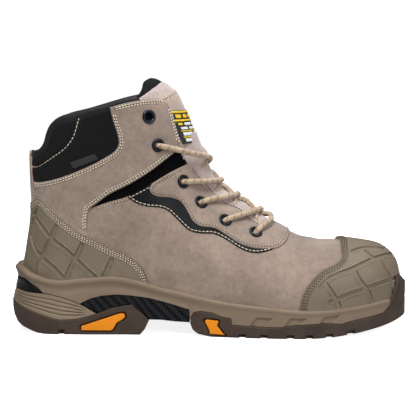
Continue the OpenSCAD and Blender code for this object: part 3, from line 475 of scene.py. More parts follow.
def join(pieces):
    """Several (points, faces, flat coordinates) as one."""
    verts, faces, uvs, at = [], [], [], 0
    for v, f, uv in pieces:
        verts.append(v)
        faces += [tuple(i + at for i in face) for face in f]
        uvs.append(uv)
        at += len(v)
    return np.vstack(verts), faces, np.vstack(uvs)


def stitch_row(last, uv, t, pitch=2.3, share=0.66, radius=0.33):
    """Thread lengths along a flat path, and dark tubes between them that paint the shade in the
    needle holes.
    """
    line = last.even(uv, 0.25)
    p, n, _, _ = last.frame(line)
    run = np.r_[0, np.cumsum(np.linalg.norm(np.diff(p, axis=0), axis=1))]
    count = max(int(run[-1] / pitch), 1)
    gap = pitch * (1 - share)
    threads, holes = [], []

    def at(q):
        pts = np.stack([np.interp(q, run, p[:, j]) for j in range(3)], -1)
        return pts, unit(np.stack([np.interp(q, run, n[:, j]) for j in range(3)], -1))

    for k in range(count):
        a = k * pitch + gap / 2
        pts, nor = at(np.linspace(a, a + pitch * share, 5))
        rise = np.array([-0.25, 0.12, 0.2, 0.12, -0.25])[:, None]
        threads.append(tube(pts + nor * (t + rise), radius * np.array([0.7, 1, 1.05, 1, 0.7]), 6))
        # The hole is not cut: a dark tube just under the surface paints its shade.
        pts, nor = at(np.clip(np.array([a - gap * 0.75, a - gap * 0.25]), 0, run[-1]))
        if np.linalg.norm(pts[1] - pts[0]) > 0.05:
            holes.append(tube(pts + nor * (t - 0.12), 0.46, 6))
    return threads, holes


# ---- sole surface
SOLE_WIDTH = np.array([[45, 38, 37.5], [70, 39, 37.5], [95, 39, 34.5], [130, 42, 33],
                       [160, 47, 37], [195, 53, 45], [228, 56, 52]], float)
HEEL_END, TOE_TIP = 1, 316.5
HEEL_ROUND_END, TOE_ROUND_START = 45, 228
TOE_SPRING = [[235, 0], [255, 1.2], [275, 3.6], [292, 6.4], [305, 9], [330, 14]]
SOLE_LINE = [[-10, 46], [12, 46.5], [30, 46], [45, 44], [67, 45], [85, 46], [102, 43],
             [120, 38], [136, 34.5], [152, 31], [175, 27], [205, 24], [229, 22],
             [250, 22.3], [272, 24.5], [300, 27.5], [330, 29]]


def sole_half(side, x, inset):
    col = 1 if side < 0 else 2
    x = np.asarray(x, float)
    heel = (SOLE_WIDTH[0, col] - inset) * round_off(
        (x - HEEL_END - inset) / (HEEL_ROUND_END - HEEL_END - inset), 2.1)
    tip = TOE_TIP - inset
    toe = (SOLE_WIDTH[-1, col] - inset) * round_off((tip - x) / (tip - TOE_ROUND_START),
                                                    2.1 if side < 0 else 2.4)
    waist = smooth_at(SOLE_WIDTH, x, col) - inset
    return np.where(x < HEEL_ROUND_END, heel, np.where(x < TOE_ROUND_START, waist, toe))


def lerp(table):
    """Function that reads the straight lines through a table's rows."""
    t = np.asarray(table, float)
    return lambda x: np.interp(x, t[:, 0], t[:, 1])


def curve(table, step=1.0):
    return lerp(spline(table, step))


def poly_gap(x, z, poly):
    """Signed distance from a closed outline, negative inside."""
    pts = np.stack([x.ravel(), z.ravel()], -1)
    poly = np.asarray(poly, float)
    d = np.full(len(pts), 1e9)
    for a, b in zip(poly, np.roll(poly, -1, 0)):
        ab = b - a
        t = np.clip(((pts - a) @ ab) / max(ab @ ab, 1e-9), 0, 1)
        d = np.minimum(d, np.linalg.norm(pts - a - t[:, None] * ab, axis=1))
    d[inside(pts, [poly])] *= -1
    return d.reshape(x.shape)


def stations(x0, x1, inset, step=0.8):
    """X places evenly spaced along the sole's edge, so that its round ends are smooth."""
    lo, hi = max(x0, HEEL_END + inset), min(x1, TOE_TIP - inset)
    x = (lo + hi) / 2 - (hi - lo) / 2 * np.cos(np.linspace(0, math.pi, 2400))
    y = sole_half(LATERAL, x, inset)
    run = np.r_[0, np.cumsum(np.hypot(np.diff(x), np.diff(y)))]
    return np.interp(np.linspace(0, run[-1], int(run[-1] / step)), run, x)


STEEPEST = 40


def loft(name, x0, x1, low, high, inset, wall, mats, rows=20, across=8, under=None,
         crown=None, step=0.8):
    """Slab of the sole between two side-view lines, its walls moved out by wall()."""
    xs = stations(x0, x1, inset, step)
    zl, zh = low(xs), np.maximum(high(xs), low(xs) + 0.02)
    k = np.linspace(0, 1, rows + 1)
    rings = {}
    for side in (LATERAL, MEDIAL):
        y = sole_half(side, xs, inset)
        e = 0.2
        slope = (sole_half(side, xs + e, inset) - sole_half(side, xs - e, inset)) / (2 * e)
        slope = np.clip(slope, -STEEPEST, STEEPEST)
        nx, ny = -slope / np.hypot(1, slope), 1 / np.hypot(1, slope)
        base = zl + (under(xs, side * y) if under is not None else 0)
        base = np.minimum(base, zh - 0.02)
        z = base[:, None] + (zh - base)[:, None] * k
        x2 = np.repeat(xs[:, None], rows + 1, 1)
        d = wall(side, x2, z, k[None] + 0 * z)
        px = x2 + nx[:, None] * d
        py = side * (np.maximum(y, 0.3)[:, None] + ny[:, None] * d)
        py = np.where(side * py < 0.1, side * 0.1, py)
        rings[side] = np.stack([px, py, z], -1)
    m = np.linspace(0, 1, across + 1)[1:-1]
    la, me = rings[LATERAL], rings[MEDIAL]
    top = la[:, -1:, :] + (me[:, -1:, :] - la[:, -1:, :]) * m[None, :, None]
    if crown is not None:
        top[..., 2] += crown(top[..., 0], m[None])
    low_face = me[:, :1, :] + (la[:, :1, :] - me[:, :1, :]) * m[None, :, None]
    if under is not None:
        z = low(low_face[..., 0]) + under(low_face[..., 0], low_face[..., 1])
        low_face[..., 2] = np.minimum(z, zh[:, None] - 0.02)
    ring = np.concatenate([la, top, me[:, ::-1], low_face], 1)
    n, c = ring.shape[:2]
    verts = ring.reshape(-1, 3)
    i, j = np.meshgrid(np.arange(n - 1), np.arange(c), indexing="ij")
    a, b = i * c + j, i * c + (j + 1) % c
    faces = np.stack([a, a + c, b + c, b], -1).reshape(-1, 4)
    kinds = [0] * len(faces)
    girth = np.r_[0, np.cumsum(np.linalg.norm(np.diff(la[:, 0], axis=0), axis=1))]
    uv = np.stack([np.repeat(girth, c), verts[:, 2]], -1)
    all_faces = [tuple(f) for f in faces]
    all_faces += [tuple(range(c)), tuple((n - 1) * c + q for q in range(c))[::-1]]
    return new_mesh(name, verts, all_faces, mats, kinds + [0, 0], uv, sharp=50)


def rounded(k, z, zl, zh, r_low, r_high):
    """Wall offset that rounds off the lower and upper edges."""
    low, high = z - zl, zh - z
    d = np.zeros_like(z)
    if r_low:
        u = np.clip(1 - low / r_low, 0, 1)
        d -= r_low * (1 - np.sqrt(np.maximum(1 - u * u, 0)))
    if r_high:
        u = np.clip(1 - high / r_high, 0, 1)
        d -= r_high * (1 - np.sqrt(np.maximum(1 - u * u, 0)))
    return d


# ---- materials
def srgb(r, g, b):
    """Linear colour from screen values of 0 to 255."""
    out = []
    for c in (r, g, b):
        c /= 255
        out.append(c / 12.92 if c <= 0.04045 else ((c + 0.055) / 1.055) ** 2.4)
    return (*out, 1.0)


class Nodes:
    """Short hand for a material's node tree."""

    def __init__(self, name):
        self.mat = bpy.data.materials.new(name)
        self.mat.use_nodes = True
        self.tree = self.mat.node_tree
        self.bsdf = self.tree.nodes["Principled BSDF"]
        coord = self.add("ShaderNodeTexCoord")
        self.object, self.uv = coord.outputs["Object"], coord.outputs["UV"]

    def add(self, kind, **props):
        node = self.tree.nodes.new(kind)
        for key, value in props.items():
            setattr(node, key, value)
        return node

    def link(self, a, b):
        self.tree.links.new(a, b)

    def put(self, socket, value):
        if isinstance(value, bpy.types.NodeSocket):
            self.link(value, socket)
        else:
            socket.default_value = value

    def math(self, op, a, b=0.0, c=0.0):
        node = self.add("ShaderNodeMath", operation=op)
        for socket, value in zip(node.inputs, (a, b, c)):
            self.put(socket, value)
        return node.outputs[0]

    def noise(self, scale, detail=4, rough=0.6, vector=None, distortion=0.0):
        node = self.add("ShaderNodeTexNoise")
        self.link(vector or self.object, node.inputs["Vector"])
        node.inputs["Scale"].default_value = scale
        node.inputs["Detail"].default_value = detail
        node.inputs["Roughness"].default_value = rough
        node.inputs["Distortion"].default_value = distortion
        return node.outputs["Fac"]

    def voronoi(self, scale, vector=None, feature="F1"):
        node = self.add("ShaderNodeTexVoronoi", feature=feature)
        self.link(vector or self.object, node.inputs["Vector"])
        node.inputs["Scale"].default_value = scale
        return node.outputs["Distance"]

    def ramp(self, fac, stops):
        node = self.add("ShaderNodeValToRGB")
        self.link(fac, node.inputs[0])
        while len(node.color_ramp.elements) < len(stops):
            node.color_ramp.elements.new(0.5)
        for element, (at, colour) in zip(node.color_ramp.elements, stops):
            element.position = at
            element.color = colour
        return node.outputs[0]

    def mix(self, fac, a, b, blend="MIX"):
        node = self.add("ShaderNodeMix", data_type="RGBA", blend_type=blend)
        self.put(node.inputs[0], fac)
        self.put(node.inputs[6], a)
        self.put(node.inputs[7], b)
        return node.outputs[2]

    def bump(self, height, strength, distance, below=None):
        node = self.add("ShaderNodeBump")
        node.inputs["Strength"].default_value = strength
        node.inputs["Distance"].default_value = distance
        self.link(height, node.inputs["Height"])
        if below is not None:
            self.link(below, node.inputs["Normal"])
        return node.outputs[0]

    def end(self, colour, rough, normal=None, metallic=0.0, coat=0.0, sheen=0.0, spec=0.5):
        self.put(self.bsdf.inputs["Base Color"], colour)
        self.put(self.bsdf.inputs["Roughness"], rough)
        self.bsdf.inputs["Metallic"].default_value = metallic
        self.bsdf.inputs["Coat Weight"].default_value = coat
        self.bsdf.inputs["Coat Roughness"].default_value = 0.2
        self.bsdf.inputs["Sheen Weight"].default_value = sheen
        self.bsdf.inputs["Sheen Roughness"].default_value = 0.6
        self.bsdf.inputs["Specular IOR Level"].default_value = spec
        if normal is not None:
            self.link(normal, self.bsdf.inputs["Normal"])
        return self.mat


def nubuck(name, dark, mid, light, sheen=0.25):
    n = Nodes(name)
    broad, fine, pores = n.noise(28, 5, 0.62, distortion=0.5), n.noise(260, 5, 0.7), \
        n.voronoi(1500)
    colour = n.ramp(broad, [(0.3, srgb(*dark)), (0.5, srgb(*mid)), (0.72, srgb(*light))])
    nap = n.ramp(fine, [(0.3, (0.78, 0.78, 0.78, 1)), (0.65, (1.06, 1.05, 1.04, 1))])
    colour = n.mix(1.0, colour, nap, "MULTIPLY")
    scuff = n.ramp(n.noise(75, 6, 0.75, distortion=2.0),
                   [(0.58, (0, 0, 0, 1)), (0.72, (0.35, 0.35, 0.35, 1))])
    colour = n.mix(scuff, colour, srgb(*[min(c + 18, 255) for c in light]))
    normal = n.bump(pores, 0.12, 0.0003)
    normal = n.bump(fine, 0.35, 0.0004, normal)
    normal = n.bump(n.noise(45, 4, 0.5), 0.35, 0.0008, normal)
    return n.end(colour, 0.88, normal, sheen=sheen, spec=0.25)


def plain(name, base, rough=0.6, vary=0.12, scale=60, bump=0.3, grain=600, **more):
    n = Nodes(name)
    lo = srgb(*[c * (1 - vary) for c in base])
    hi = srgb(*[min(c * (1 + vary), 255) for c in base])
    colour = n.ramp(n.noise(scale, 5, 0.65), [(0.32, lo), (0.68, hi)])
    normal = n.bump(n.noise(grain, 4, 0.7), bump, 0.0003)
    gloss = n.math("MULTIPLY_ADD", n.noise(scale * 2.3, 3, 0.6), 0.22, rough - 0.11)
    return n.end(colour, gloss, normal, **more)


def weave(name, warp, weft, pitch, rough=0.7, bump=0.8, twill=True, **more):
    """Woven cloth in UV space: pitch is the width of a yarn in millimetres."""
    n = Nodes(name)
    split = n.add("ShaderNodeSeparateXYZ")
    n.link(n.uv, split.inputs[0])
    u = n.math("DIVIDE", split.outputs[0], pitch)
    v = n.math("DIVIDE", split.outputs[1], pitch)
    wave_u = n.math("ABSOLUTE", n.math("SINE", n.math("MULTIPLY", u, math.pi)))
    wave_v = n.math("ABSOLUTE", n.math("SINE", n.math("MULTIPLY", v, math.pi)))
    cell = n.math("ADD", n.math("FLOOR", u), n.math("FLOOR", v))
    over = n.math("LESS_THAN", n.math("FLOORED_MODULO", cell, 4.0 if twill else 2.0),
                  2.0 if twill else 1.0)
    height = n.math("ADD", n.math("MULTIPLY", over, wave_u),
                    n.math("MULTIPLY", n.math("SUBTRACT", 1.0, over), wave_v))
    colour = n.mix(over, srgb(*weft), srgb(*warp))
    shade = n.ramp(height, [(0.0, (0.35, 0.35, 0.35, 1)), (0.6, (1, 1, 1, 1))])
    colour = n.mix(1.0, colour, shade, "MULTIPLY")
    worn = n.ramp(n.noise(40, 4, 0.6), [(0.3, (0.85, 0.85, 0.85, 1)), (0.7, (1.15, 1.15, 1.15, 1))])
    colour = n.mix(1.0, colour, worn, "MULTIPLY")
    normal = n.bump(height, bump, 0.0004)
    return n.end(colour, rough, normal, **more)


def lace_cloth(name):
    """Round braid with flecks that run round it in a spiral."""
    n = Nodes(name)
    split = n.add("ShaderNodeSeparateXYZ")
    n.link(n.uv, split.inputs[0])
    u, v = split.outputs[0], split.outputs[1]
    spiral = n.math("ADD", n.math("MULTIPLY", u, 0.55), n.math("MULTIPLY", v, 4.0))
    counter = n.math("SUBTRACT", n.math("MULTIPLY", u, 0.55), n.math("MULTIPLY", v, 4.0))
    a = n.math("ABSOLUTE", n.math("SINE", n.math("MULTIPLY", spiral, math.pi)))
    b = n.math("ABSOLUTE", n.math("SINE", n.math("MULTIPLY", counter, math.pi)))
    height = n.math("MULTIPLY", a, b)
    fleck = n.math("MULTIPLY",
                   n.math("GREATER_THAN", n.math("SINE", n.math(
                       "ADD", n.math("MULTIPLY", u, 1.05), n.math("MULTIPLY", v, 6.283))), 0.62),
                   n.math("GREATER_THAN", n.noise(190, 2, 0.5), 0.47))
    base = n.ramp(n.noise(120, 4, 0.6), [(0.3, srgb(172, 152, 128)), (0.7, srgb(210, 192, 167))])
    colour = n.mix(n.math("MULTIPLY", fleck, 0.75), base, srgb(170, 118, 72))
    shade = n.ramp(height, [(0.0, (0.6, 0.6, 0.6, 1)), (0.45, (1, 1, 1, 1))])
    colour = n.mix(1.0, colour, shade, "MULTIPLY")
    return n.end(colour, 0.85, n.bump(height, 0.7, 0.0005), sheen=0.3, spec=0.2)


NUBUCK = nubuck("nubuck", (128, 112, 101), (145, 128, 116), (160, 142, 129))
TONGUE = nubuck("tongue_nubuck", (160, 143, 139), (176, 159, 154), (190, 174, 169), 0.5)
FACING = nubuck("facing_nubuck", (158, 140, 126), (174, 155, 140), (188, 170, 154), 0.4)
CUT = plain("leather_cut_edge", (176, 142, 128), 0.85, 0.1, 300)
GUARD = plain("guard_rubber", (118, 106, 91), 0.55, 0.05, 40, 0.35, 900, spec=0.35)
TAN = plain("midsole_foam", (126, 110, 93), 0.6, 0.05, 30, 0.3, 700, spec=0.3)
TAN_LIGHT = plain("wedge_foam", (132, 117, 99), 0.58, 0.05, 30, 0.3, 700, spec=0.3)
BROWN = plain("outsole_rubber", (68, 56, 49), 0.65, 0.12, 50, 0.4, 700, spec=0.25)
YELLOW = plain("insert_rubber", (232, 138, 0), 0.75, 0.04, 30, 0.15, 400)
BLACK = plain("black_moulding", (8, 9, 11), 0.34, 0.2, 60, 0.25, 500, spec=0.16)
TRIM = plain("trim_coated", (9, 12, 16), 0.5, 0.2, 60, 0.5, 900, spec=0.2)
STRETCH = weave("stretch_fabric", (12, 12, 14), (7, 7, 9), 0.7, 0.85, 0.5, spec=0.05)
SHELL = weave("softshell", (27, 27, 30), (13, 13, 16), 0.42, 0.7, 0.7, sheen=0.02, spec=0.12)
LINING = weave("lining_mesh", (26, 26, 28), (14, 14, 16), 1.1, 0.9, 0.9, False, sheen=0.03,
               spec=0.1)
BINDING = plain("collar_binding", (22, 22, 25), 0.62, 0.25, 160, 0.6, 1100, sheen=0.03, spec=0.25)
CARBON = weave("carbon_twill", (30, 33, 38), (4, 5, 6), 2.0, 0.4, 0.6, coat=0.08, spec=0.14)
METAL = plain("eyelet_metal", (30, 36, 44), 0.3, 0.2, 200, 0.1, 600, metallic=0.75)
THREAD = plain("thread_cream", (214, 200, 180), 0.8, 0.08, 400, 0.4, 2500)
THREAD_DIM = plain("thread_beige", (186, 170, 150), 0.8, 0.1, 400, 0.4, 2500)
# Painted shade: this dark colour stands for the shade inside needle holes and the toe guard's
# stitch holes.
HOLE_SHADE = plain("needle_hole_painted_shade", (38, 30, 26), 0.95, 0.2, 300)
LABEL = weave("label_cloth", (46, 48, 52), (32, 34, 38), 0.5, 0.75, 0.4, False)
LABEL_YELLOW = plain("label_yellow", (236, 196, 28), 0.7, 0.08, 300, 0.4, 2000)
LABEL_WHITE = plain("label_white", (226, 228, 230), 0.75, 0.06, 300, 0.4, 2000)
LACE = lace_cloth("lace_cord")

# ---- lines in side view
FLEX_LOW = [[66, 95], [72, 98.5], [83, 102.7], [97, 108], [112, 116], [129, 125.5],
            [142, 131.5]]
FLEX_HIGH = [[66, 98], [71, 101.5], [82, 109.5], [98, 117.6], [113, 127], [125, 136],
             [136, 144.5]]
FACING_HIGH = [[[136, 144.5], [135, 151], [132, 162], [129, 173], [126, 178.6]],
               [[143, 149], [140, 153], [136, 164], [132, 175], [128.5, 179]]]
FACING_LOW = [[[142, 131.5], [142.5, 129], [149, 120], [160, 107], [169, 99], [182, 93],
               [191, 85], [198, 81], [204, 78.6]],
              [[150, 134], [154, 124], [160, 114.5], [168, 108.5], [177, 102.3],
               [187, 95.5], [196, 89.2], [203, 85]]]
SEAM_LINE = [[17.7, 138], [20, 138], [26, 141], [31, 146], [34, 153], [37, 160], [41, 164],
             [45, 166], [59, 169], [71, 173], [83, 176.8], [95, 180], [106, 181.8]]
TOP_LINE = [[17.7, 141.5], [20, 141.7], [25, 144], [28.5, 148.5], [31, 156], [34.5, 162.5],
            [39.5, 167.4], [45, 170.2], [60, 173.8], [75, 178.2], [91, 183], [102, 185.6],
            [114, 187.5]]
TONGUE_EDGE = [[104, 186], [105, 172], [111, 152], [115, 140], [125, 118], [138, 100],
               [152, 88], [168, 78], [184, 70], [200, 66], [212, 66]]
EYESTAY_EDGE = [[116, 117.8], [113.2, 115.4], [113, 111.5], [117, 108], [129, 106],
                [136, 103], [142, 95], [146, 88], [152, 84], [163, 82], [173, 76],
                [183, 70], [192, 67], [204, 66], [213, 67], [219, 70.5], [223, 76]]
WAVE_EDGE = [[96, 107.3], [102, 103], [111, 100], [120, 99], [126, 97], [133, 91],
             [139, 85], [144, 81], [152, 79], [163, 78], [173, 73], [183, 67],
             [192, 64], [200, 64], [208, 65.5]]
SOFTSHELL_EDGE = [[21.5, 117], [27, 117.6], [44, 122], [68, 132], [79, 138], [86, 142.5],
                  [89.5, 148], [89, 155], [85.5, 166], [83.2, 176.4]]
HEEL_GUARD_EDGE = [[19, 100.5], [21, 101.5], [24, 104], [27, 104.6], [31, 102.6], [37, 97],
                   [48, 88], [59, 80], [71, 74], [82, 68], [94, 63], [102, 58], [108, 51],
                   [111.5, 42], [112, 38]]
TOE_GUARD_EDGE = [[264, 70], [262.4, 65], [262, 60], [258, 56], [245, 50], [236, 42],
                  [231, 34], [229, 26], [228.5, 20]]
UPPER_EYELETS = [[[112, 169], [119, 147]], [[114, 170], [123, 149]]]
LOWER_EYELETS = [[[138, 118], [152, 101], [171, 87], [195, 77]],
                 [[146, 123], [156, 111], [172, 98], [194, 84]]]
HEEL_CHANNELS = [
    [[23, 92], [32, 80.4], [38, 74], [48, 66.3], [56, 58.5], [65, 50], [72, 43.6]],
    [[20, 75.4], [24.6, 65.2], [30, 59], [39, 52], [47.6, 42.5]],
    [[41.4, 85], [38.2, 77.2], [34.2, 69.4], [30.2, 61.6], [26.2, 53.8], [24.6, 45]],
    [[60.5, 71], [55.8, 60.8], [51.8, 53], [47.8, 42.8]],
    [[83.6, 59.5], [79.7, 50.7], [75.7, 43.6]],
    [[25.3, 95.2], [22, 85.8], [20.3, 74.9]]]
TOE_CHANNELS = [
    [[242.2, 40.5], [255.4, 47.1], [267.8, 51.2], [277.8, 54.8], [286.2, 57.1],
     [297.4, 58.4], [304, 57]],
    [[251.5, 28.9], [263.8, 33.6], [276.3, 36.9], [286.5, 39.7], [297.6, 41.5], [309, 42.5]],
    [[270, 62.5], [280, 64.2], [291, 63.4], [299, 61.2]],
    [[246.8, 42.9], [251.4, 36.7], [255.6, 29.9], [258.1, 24.2]],
    [[269.4, 51.5], [274.6, 42.6], [279.7, 36.5], [282.3, 30.7], [283.3, 24.2]],
    [[277.6, 63.8], [284.5, 58.9], [290.5, 55.9], [295.8, 48.3], [299.4, 41.5], [301.2, 31.7]]]


def lift(line, dx, dz):
    return [[p[0] + dx, p[1] + dz] for p in line]


def rev(line):
    return list(line)[::-1]


def over_crest(points, points_medial=None, step=1.2):
    """Flat path up the lateral side, over the crest and down the medial side."""
    lo = LAST.path(points, LATERAL, step=step)
    hi = LAST.path(points_medial or points, MEDIAL, step=step)
    lo, hi = lo[lo[:, 1] < -0.4], hi[hi[:, 1] > 0.4]
    return LAST.even(np.vstack([lo, hi[::-1]]), step)


def round_back(points, step=1.2):
    """Flat path from the front of the lateral side, round the back, to the medial side."""
    lo = WRAP.path(points, LATERAL, step=step)[::-1]
    hi = WRAP.path(points, MEDIAL, step=step)
    lo, hi = lo[lo[:, 1] > 0.5], hi[hi[:, 1] < -0.5]
    return WRAP.even(np.vstack([lo, hi]), step)


def around(last, line, deltas):
    return [last.inset(line, d) for d in deltas]


# The upper bends between the lower boot and the shaft in a band above the ankle pivot.
LEG_BEND = ("lower", "shaft", (0.066, 0, 0.1056), (0.0605, 0, 0.134))
# The top of the tongue folds over a shorter band at the height of the collar.
TONGUE_BEND = ("shaft", "tongue_tip", (0.1385, 0, 0.178), (0.1335, 0, 0.190))


def settle(obj, carrier, slot, *nodes):
    """Hangs a piece on a body, or only bakes its transform when given a bend, and hides the CAD
    nodes it stands for.

    slot is not used.
    """
    if isinstance(carrier, str):
        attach(obj, carrier)
    else:
        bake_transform(obj)
    if nodes:
        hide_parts(*nodes)


def wobble(p, scale, seed):
    """Slow irregularity of a hand-lasted skin, about -1 to 1."""
    rng = np.random.default_rng(seed)
    out = np.zeros(len(p))
    for k in range(5):
        d = rng.normal(size=3)
        out += np.sin(p @ d / scale * (1 + 0.4 * k) + rng.uniform(0, 6.3)) / (k + 1.4)
    return out / 2.2


def skin(seed, groove=(), depth=0.22, puff=0.25, rough=0.16):
    """Relief of a leather piece: a soft puff and pressed-in stitch rows."""
    def relief(p, flat, dist):
        d = rough * wobble(p, 9, seed) + puff * (1 - np.exp(-dist / 4)) - puff * 0.5
        for at in groove:
            d = d - depth * np.exp(-((dist - at) / 0.55) ** 2)
        return d
    return relief


# The third dict holds dark tubes that paint the shade in needle holes.
threads, dim_threads, hole_shade_marks = {}, {}, {}


def sew(key, last, line, t, pitch=2.3, share=0.62, radius=0.33, dim=False):
    a, b = stitch_row(last, line, t, pitch, share, radius)
    (dim_threads if dim else threads).setdefault(key, []).extend(a)
    hole_shade_marks.setdefault(key, []).extend(b)


def eyelet_rings(rows, side, radius):
    return [LAST.circle(LAST.flat(place([p], side))[0], radius)
            for p in rows[0 if side < 0 else 1]]


# ---- base leather
bottom = lift(SOLE_LINE[1:], 0, -3)
low_line = [[p[0], p[1]] for p in bottom if 13 < p[0] < 240]


def back_edge(side, z0, z1):
    """Flat path up the middle of the heel."""
    z = np.arange(z0, z1, 2.0)
    x = smooth_at(BACK_LINE, z)
    uv = LAST.flat(place(np.stack([x, z], -1), side))
    uv[:, 1] = side * FLAT_W
    return uv


FLEX_LEATHER = [[66, 98.2], [72, 100.2], [83, 103.8]] + FLEX_LOW[3:]
toe_hidden = [[246, 19], [247, 40], [252, 52], [262, 58], [270, 62], [272, 69]]
base = [
    (LAST.path([[13, 43]] + low_line + [[246, 19]], LATERAL), 0),
    (over_crest(toe_hidden), 0),
    (LAST.path([[13, 43]] + low_line + [[246, 19]], MEDIAL)[::-1], 0),
    (back_edge(MEDIAL, 43, 112), 0),
    (LAST.path([[19, 112], [60, 109], [63, 101], [66, 98.2]], MEDIAL), 0),
    (LAST.path(FLEX_LEATHER, MEDIAL), 1),
    (LAST.path(FACING_LOW[1], MEDIAL), 0),
    (LAST.flat(np.array([[10.8, 0.04], [10.95, 0.0], [10.9, -0.06]])), 0),
    (LAST.path(FACING_LOW[0], LATERAL)[::-1], 0),
    (LAST.path(FLEX_LEATHER, LATERAL)[::-1], 1),
    (LAST.path([[66, 98.2], [63, 101], [60, 109], [19, 112]], LATERAL), 0),
    (back_edge(LATERAL, 43, 112)[::-1], 0),
]
base_holes = [r for side in (LATERAL, MEDIAL) for r in eyelet_rings(LOWER_EYELETS, side, 3.2)]


def base_relief(p, flat, dist):
    d = 0.3 * wobble(p, 16, 3) + 0.12 * wobble(p, 5, 9)
    # Creases over the ball of the foot, then at the front of the ankle.
    flex = np.exp(-((p[:, 0] - 236) / 18) ** 2) * fade(p[:, 2], 30, 62)
    d += 0.28 * flex * np.sin((p[:, 0] + 0.35 * p[:, 2]) / 2.6) * fade(p[:, 2], 40, 66)
    ankle = np.exp(-((p[:, 0] - 128) / 26) ** 2 - ((p[:, 2] - 74) / 22) ** 2)
    d += 0.35 * ankle * np.sin((p[:, 2] - 0.5 * p[:, 0]) / 5.5)
    d -= 0.2 * np.exp(-((dist - 1.6) / 0.5) ** 2)
    return d


leather = panel("lower_leather", LAST, base, [NUBUCK, CUT], -1.9, 0.0, base_holes, 0.4,
                1.8, base_relief)
settle(leather, LEG_BEND, "nubuck", "vamp", "quarter_lateral", "quarter_medial",
       "heel_fold_lateral", "heel_fold_medial")
for side in (LATERAL, MEDIAL):
    line = LAST.path(lift(FLEX_LEATHER[1:5], 0.6, -1.6), side)
    sew("lower_top", LAST, line, 0.0, 2.3)

# ---- overlays on the lower boot
lower_eyestay = [
    (LAST.path(EYESTAY_EDGE + [[224.6, 81]], LATERAL), 1),
    (over_crest([[223, 76], [224.6, 81]]), 1),
    (LAST.path(EYESTAY_EDGE + [[224.6, 81]], MEDIAL)[::-1], 1),
    (LAST.path([[116, 118.4], [129, 125.9], [142, 131.7], [149, 134.8]], MEDIAL), 1),
    (LAST.path(FACING_LOW[1], MEDIAL), 1),
    (over_crest([[204, 78.6], [208.5, 80.2], [211.6, 84]], [[203, 85], [209, 82.6],
                                                           [211.6, 84]])[::-1], 1),
    (LAST.path(FACING_LOW[0], LATERAL)[::-1], 1),
    (LAST.path([[116, 118.4], [129, 125.9], [142, 131.7]], LATERAL)[::-1], 1),
]
stay_holes = [r for side in (LATERAL, MEDIAL) for r in eyelet_rings(LOWER_EYELETS, side, 3.3)]
eyestay = panel("eyestay", LAST, lower_eyestay, [NUBUCK, CUT], 0.05, 1.75, stay_holes, 0.7,
                1.6, skin(5, (1.9,), 0.3, 0.5, 0.2))
settle(eyestay, LEG_BEND, "nubuck", "eyestay_lateral", "eyestay_medial")

for side, tag in ((LATERAL, "lateral"), (MEDIAL, "medial")):
    up = LAST.path(EYESTAY_EDGE, side)
    inner = LAST.inset(up, -2.6 if side > 0 else 2.6)
    trim = [(LAST.path(WAVE_EDGE, side), 1), (inner[::-1], 0),
            (LAST.path([[113.5, 117], [97, 107.9]], side), 0)]
    wave = panel(f"wave_trim_{tag}", LAST, trim, [TRIM, TRIM], 0.0, 0.85, (), 0.35, 1.8,
                 skin(11, (1.3,), 0.18, 0.1, 0.05))
    settle(wave, LEG_BEND, "trim_black", f"wave_trim_{tag}")
    turn = 1 if side < 0 else -1
    edge = LAST.path(WAVE_EDGE, side)
    sew("wave", LAST, LAST.inset(edge, 1.3 * turn), 0.8, 3.1, 0.7, 0.34)
    sew("wave", LAST, LAST.path([[99, 107.6], [113, 114.8]], side), 0.8, 3.1, 0.7, 0.34)
    whole = LAST.path(EYESTAY_EDGE + [[224.4, 80.4]], side)
    row = LAST.inset(whole, 1.9 * turn)
    sew("eyestay", LAST, row, 1.62, 2.4, 0.5, 0.3, dim=True)
    face = LAST.path(rev(FACING_LOW[0 if side < 0 else 1])[1:-1], side)
    sew("eyestay", LAST, LAST.inset(face, -1.9 * turn), 1.62, 2.4, 0.5, 0.3, dim=True)
    sew("eyestay", LAST, LAST.path([[118, 117.6], [129, 123.6], [139, 128.2]], side), 1.62,
        2.4, 0.5, 0.3, dim=True)
    gusset = [(LAST.path(lift(FLEX_LOW, 1, -4), side), 0),
              (LAST.path([[143, 127.5], [142.4, 132], [139.5, 138], [136.4, 145], [134, 149]],
                         side), 1),
              (LAST.path(lift(FLEX_HIGH, -1, 5), side)[::-1], 0),
              (LAST.path([[65, 103], [64, 98], [67, 91]], side, smooth=False), 0)]
    fold = panel(f"ankle_gusset_{tag}", LAST, gusset, [STRETCH, STRETCH], -1.9, -0.8, (), 0.5,
                 1.7, skin(21, (1.5,), 0.15, 0.2, 0.35))
    settle(fold, LEG_BEND, "trim_black", f"ankle_gusset_{tag}")
    if side < 0:
        sew("gusset", LAST, LAST.path([[136.2, 143], [138.2, 137.6], [140.6, 132.5]], side), 0.0,
            3.0, 0.7, 0.32)


# ---- guards
def guard_relief(last, channels, sides, rows, seed):
    """Relief of a moulded guard, with channels between its tiles, and the points it needs."""
    lines = [last.point(last.path(c, side)) for c in channels for side in sides]

    def relief(p, flat, dist):
        d = 0.08 * wobble(p, 7, seed)
        near = polyline_distance(p, lines)
        band = fade(dist, 6.2, 7.4)
        d -= 1.05 * band * (1 - fade(near, 1.4, 1.75))
        d += 0.38 * band * np.exp(-((near - 2.1) / 0.32) ** 2)
        for at in rows:
            d += 0.42 * np.exp(-((dist - at) / 0.42) ** 2)
        d -= 0.1 * (1 - fade(dist, 5.6, 6.6))
        return d
    feats = []
    for c in channels:
        for side in sides:
            uv = last.path(c, side, step=0.9)
            feats += around(last, uv, (-2.6, -2.1, -1.75, -1.4, 0.0, 1.4, 1.75, 2.1, 2.6))
    return relief, feats


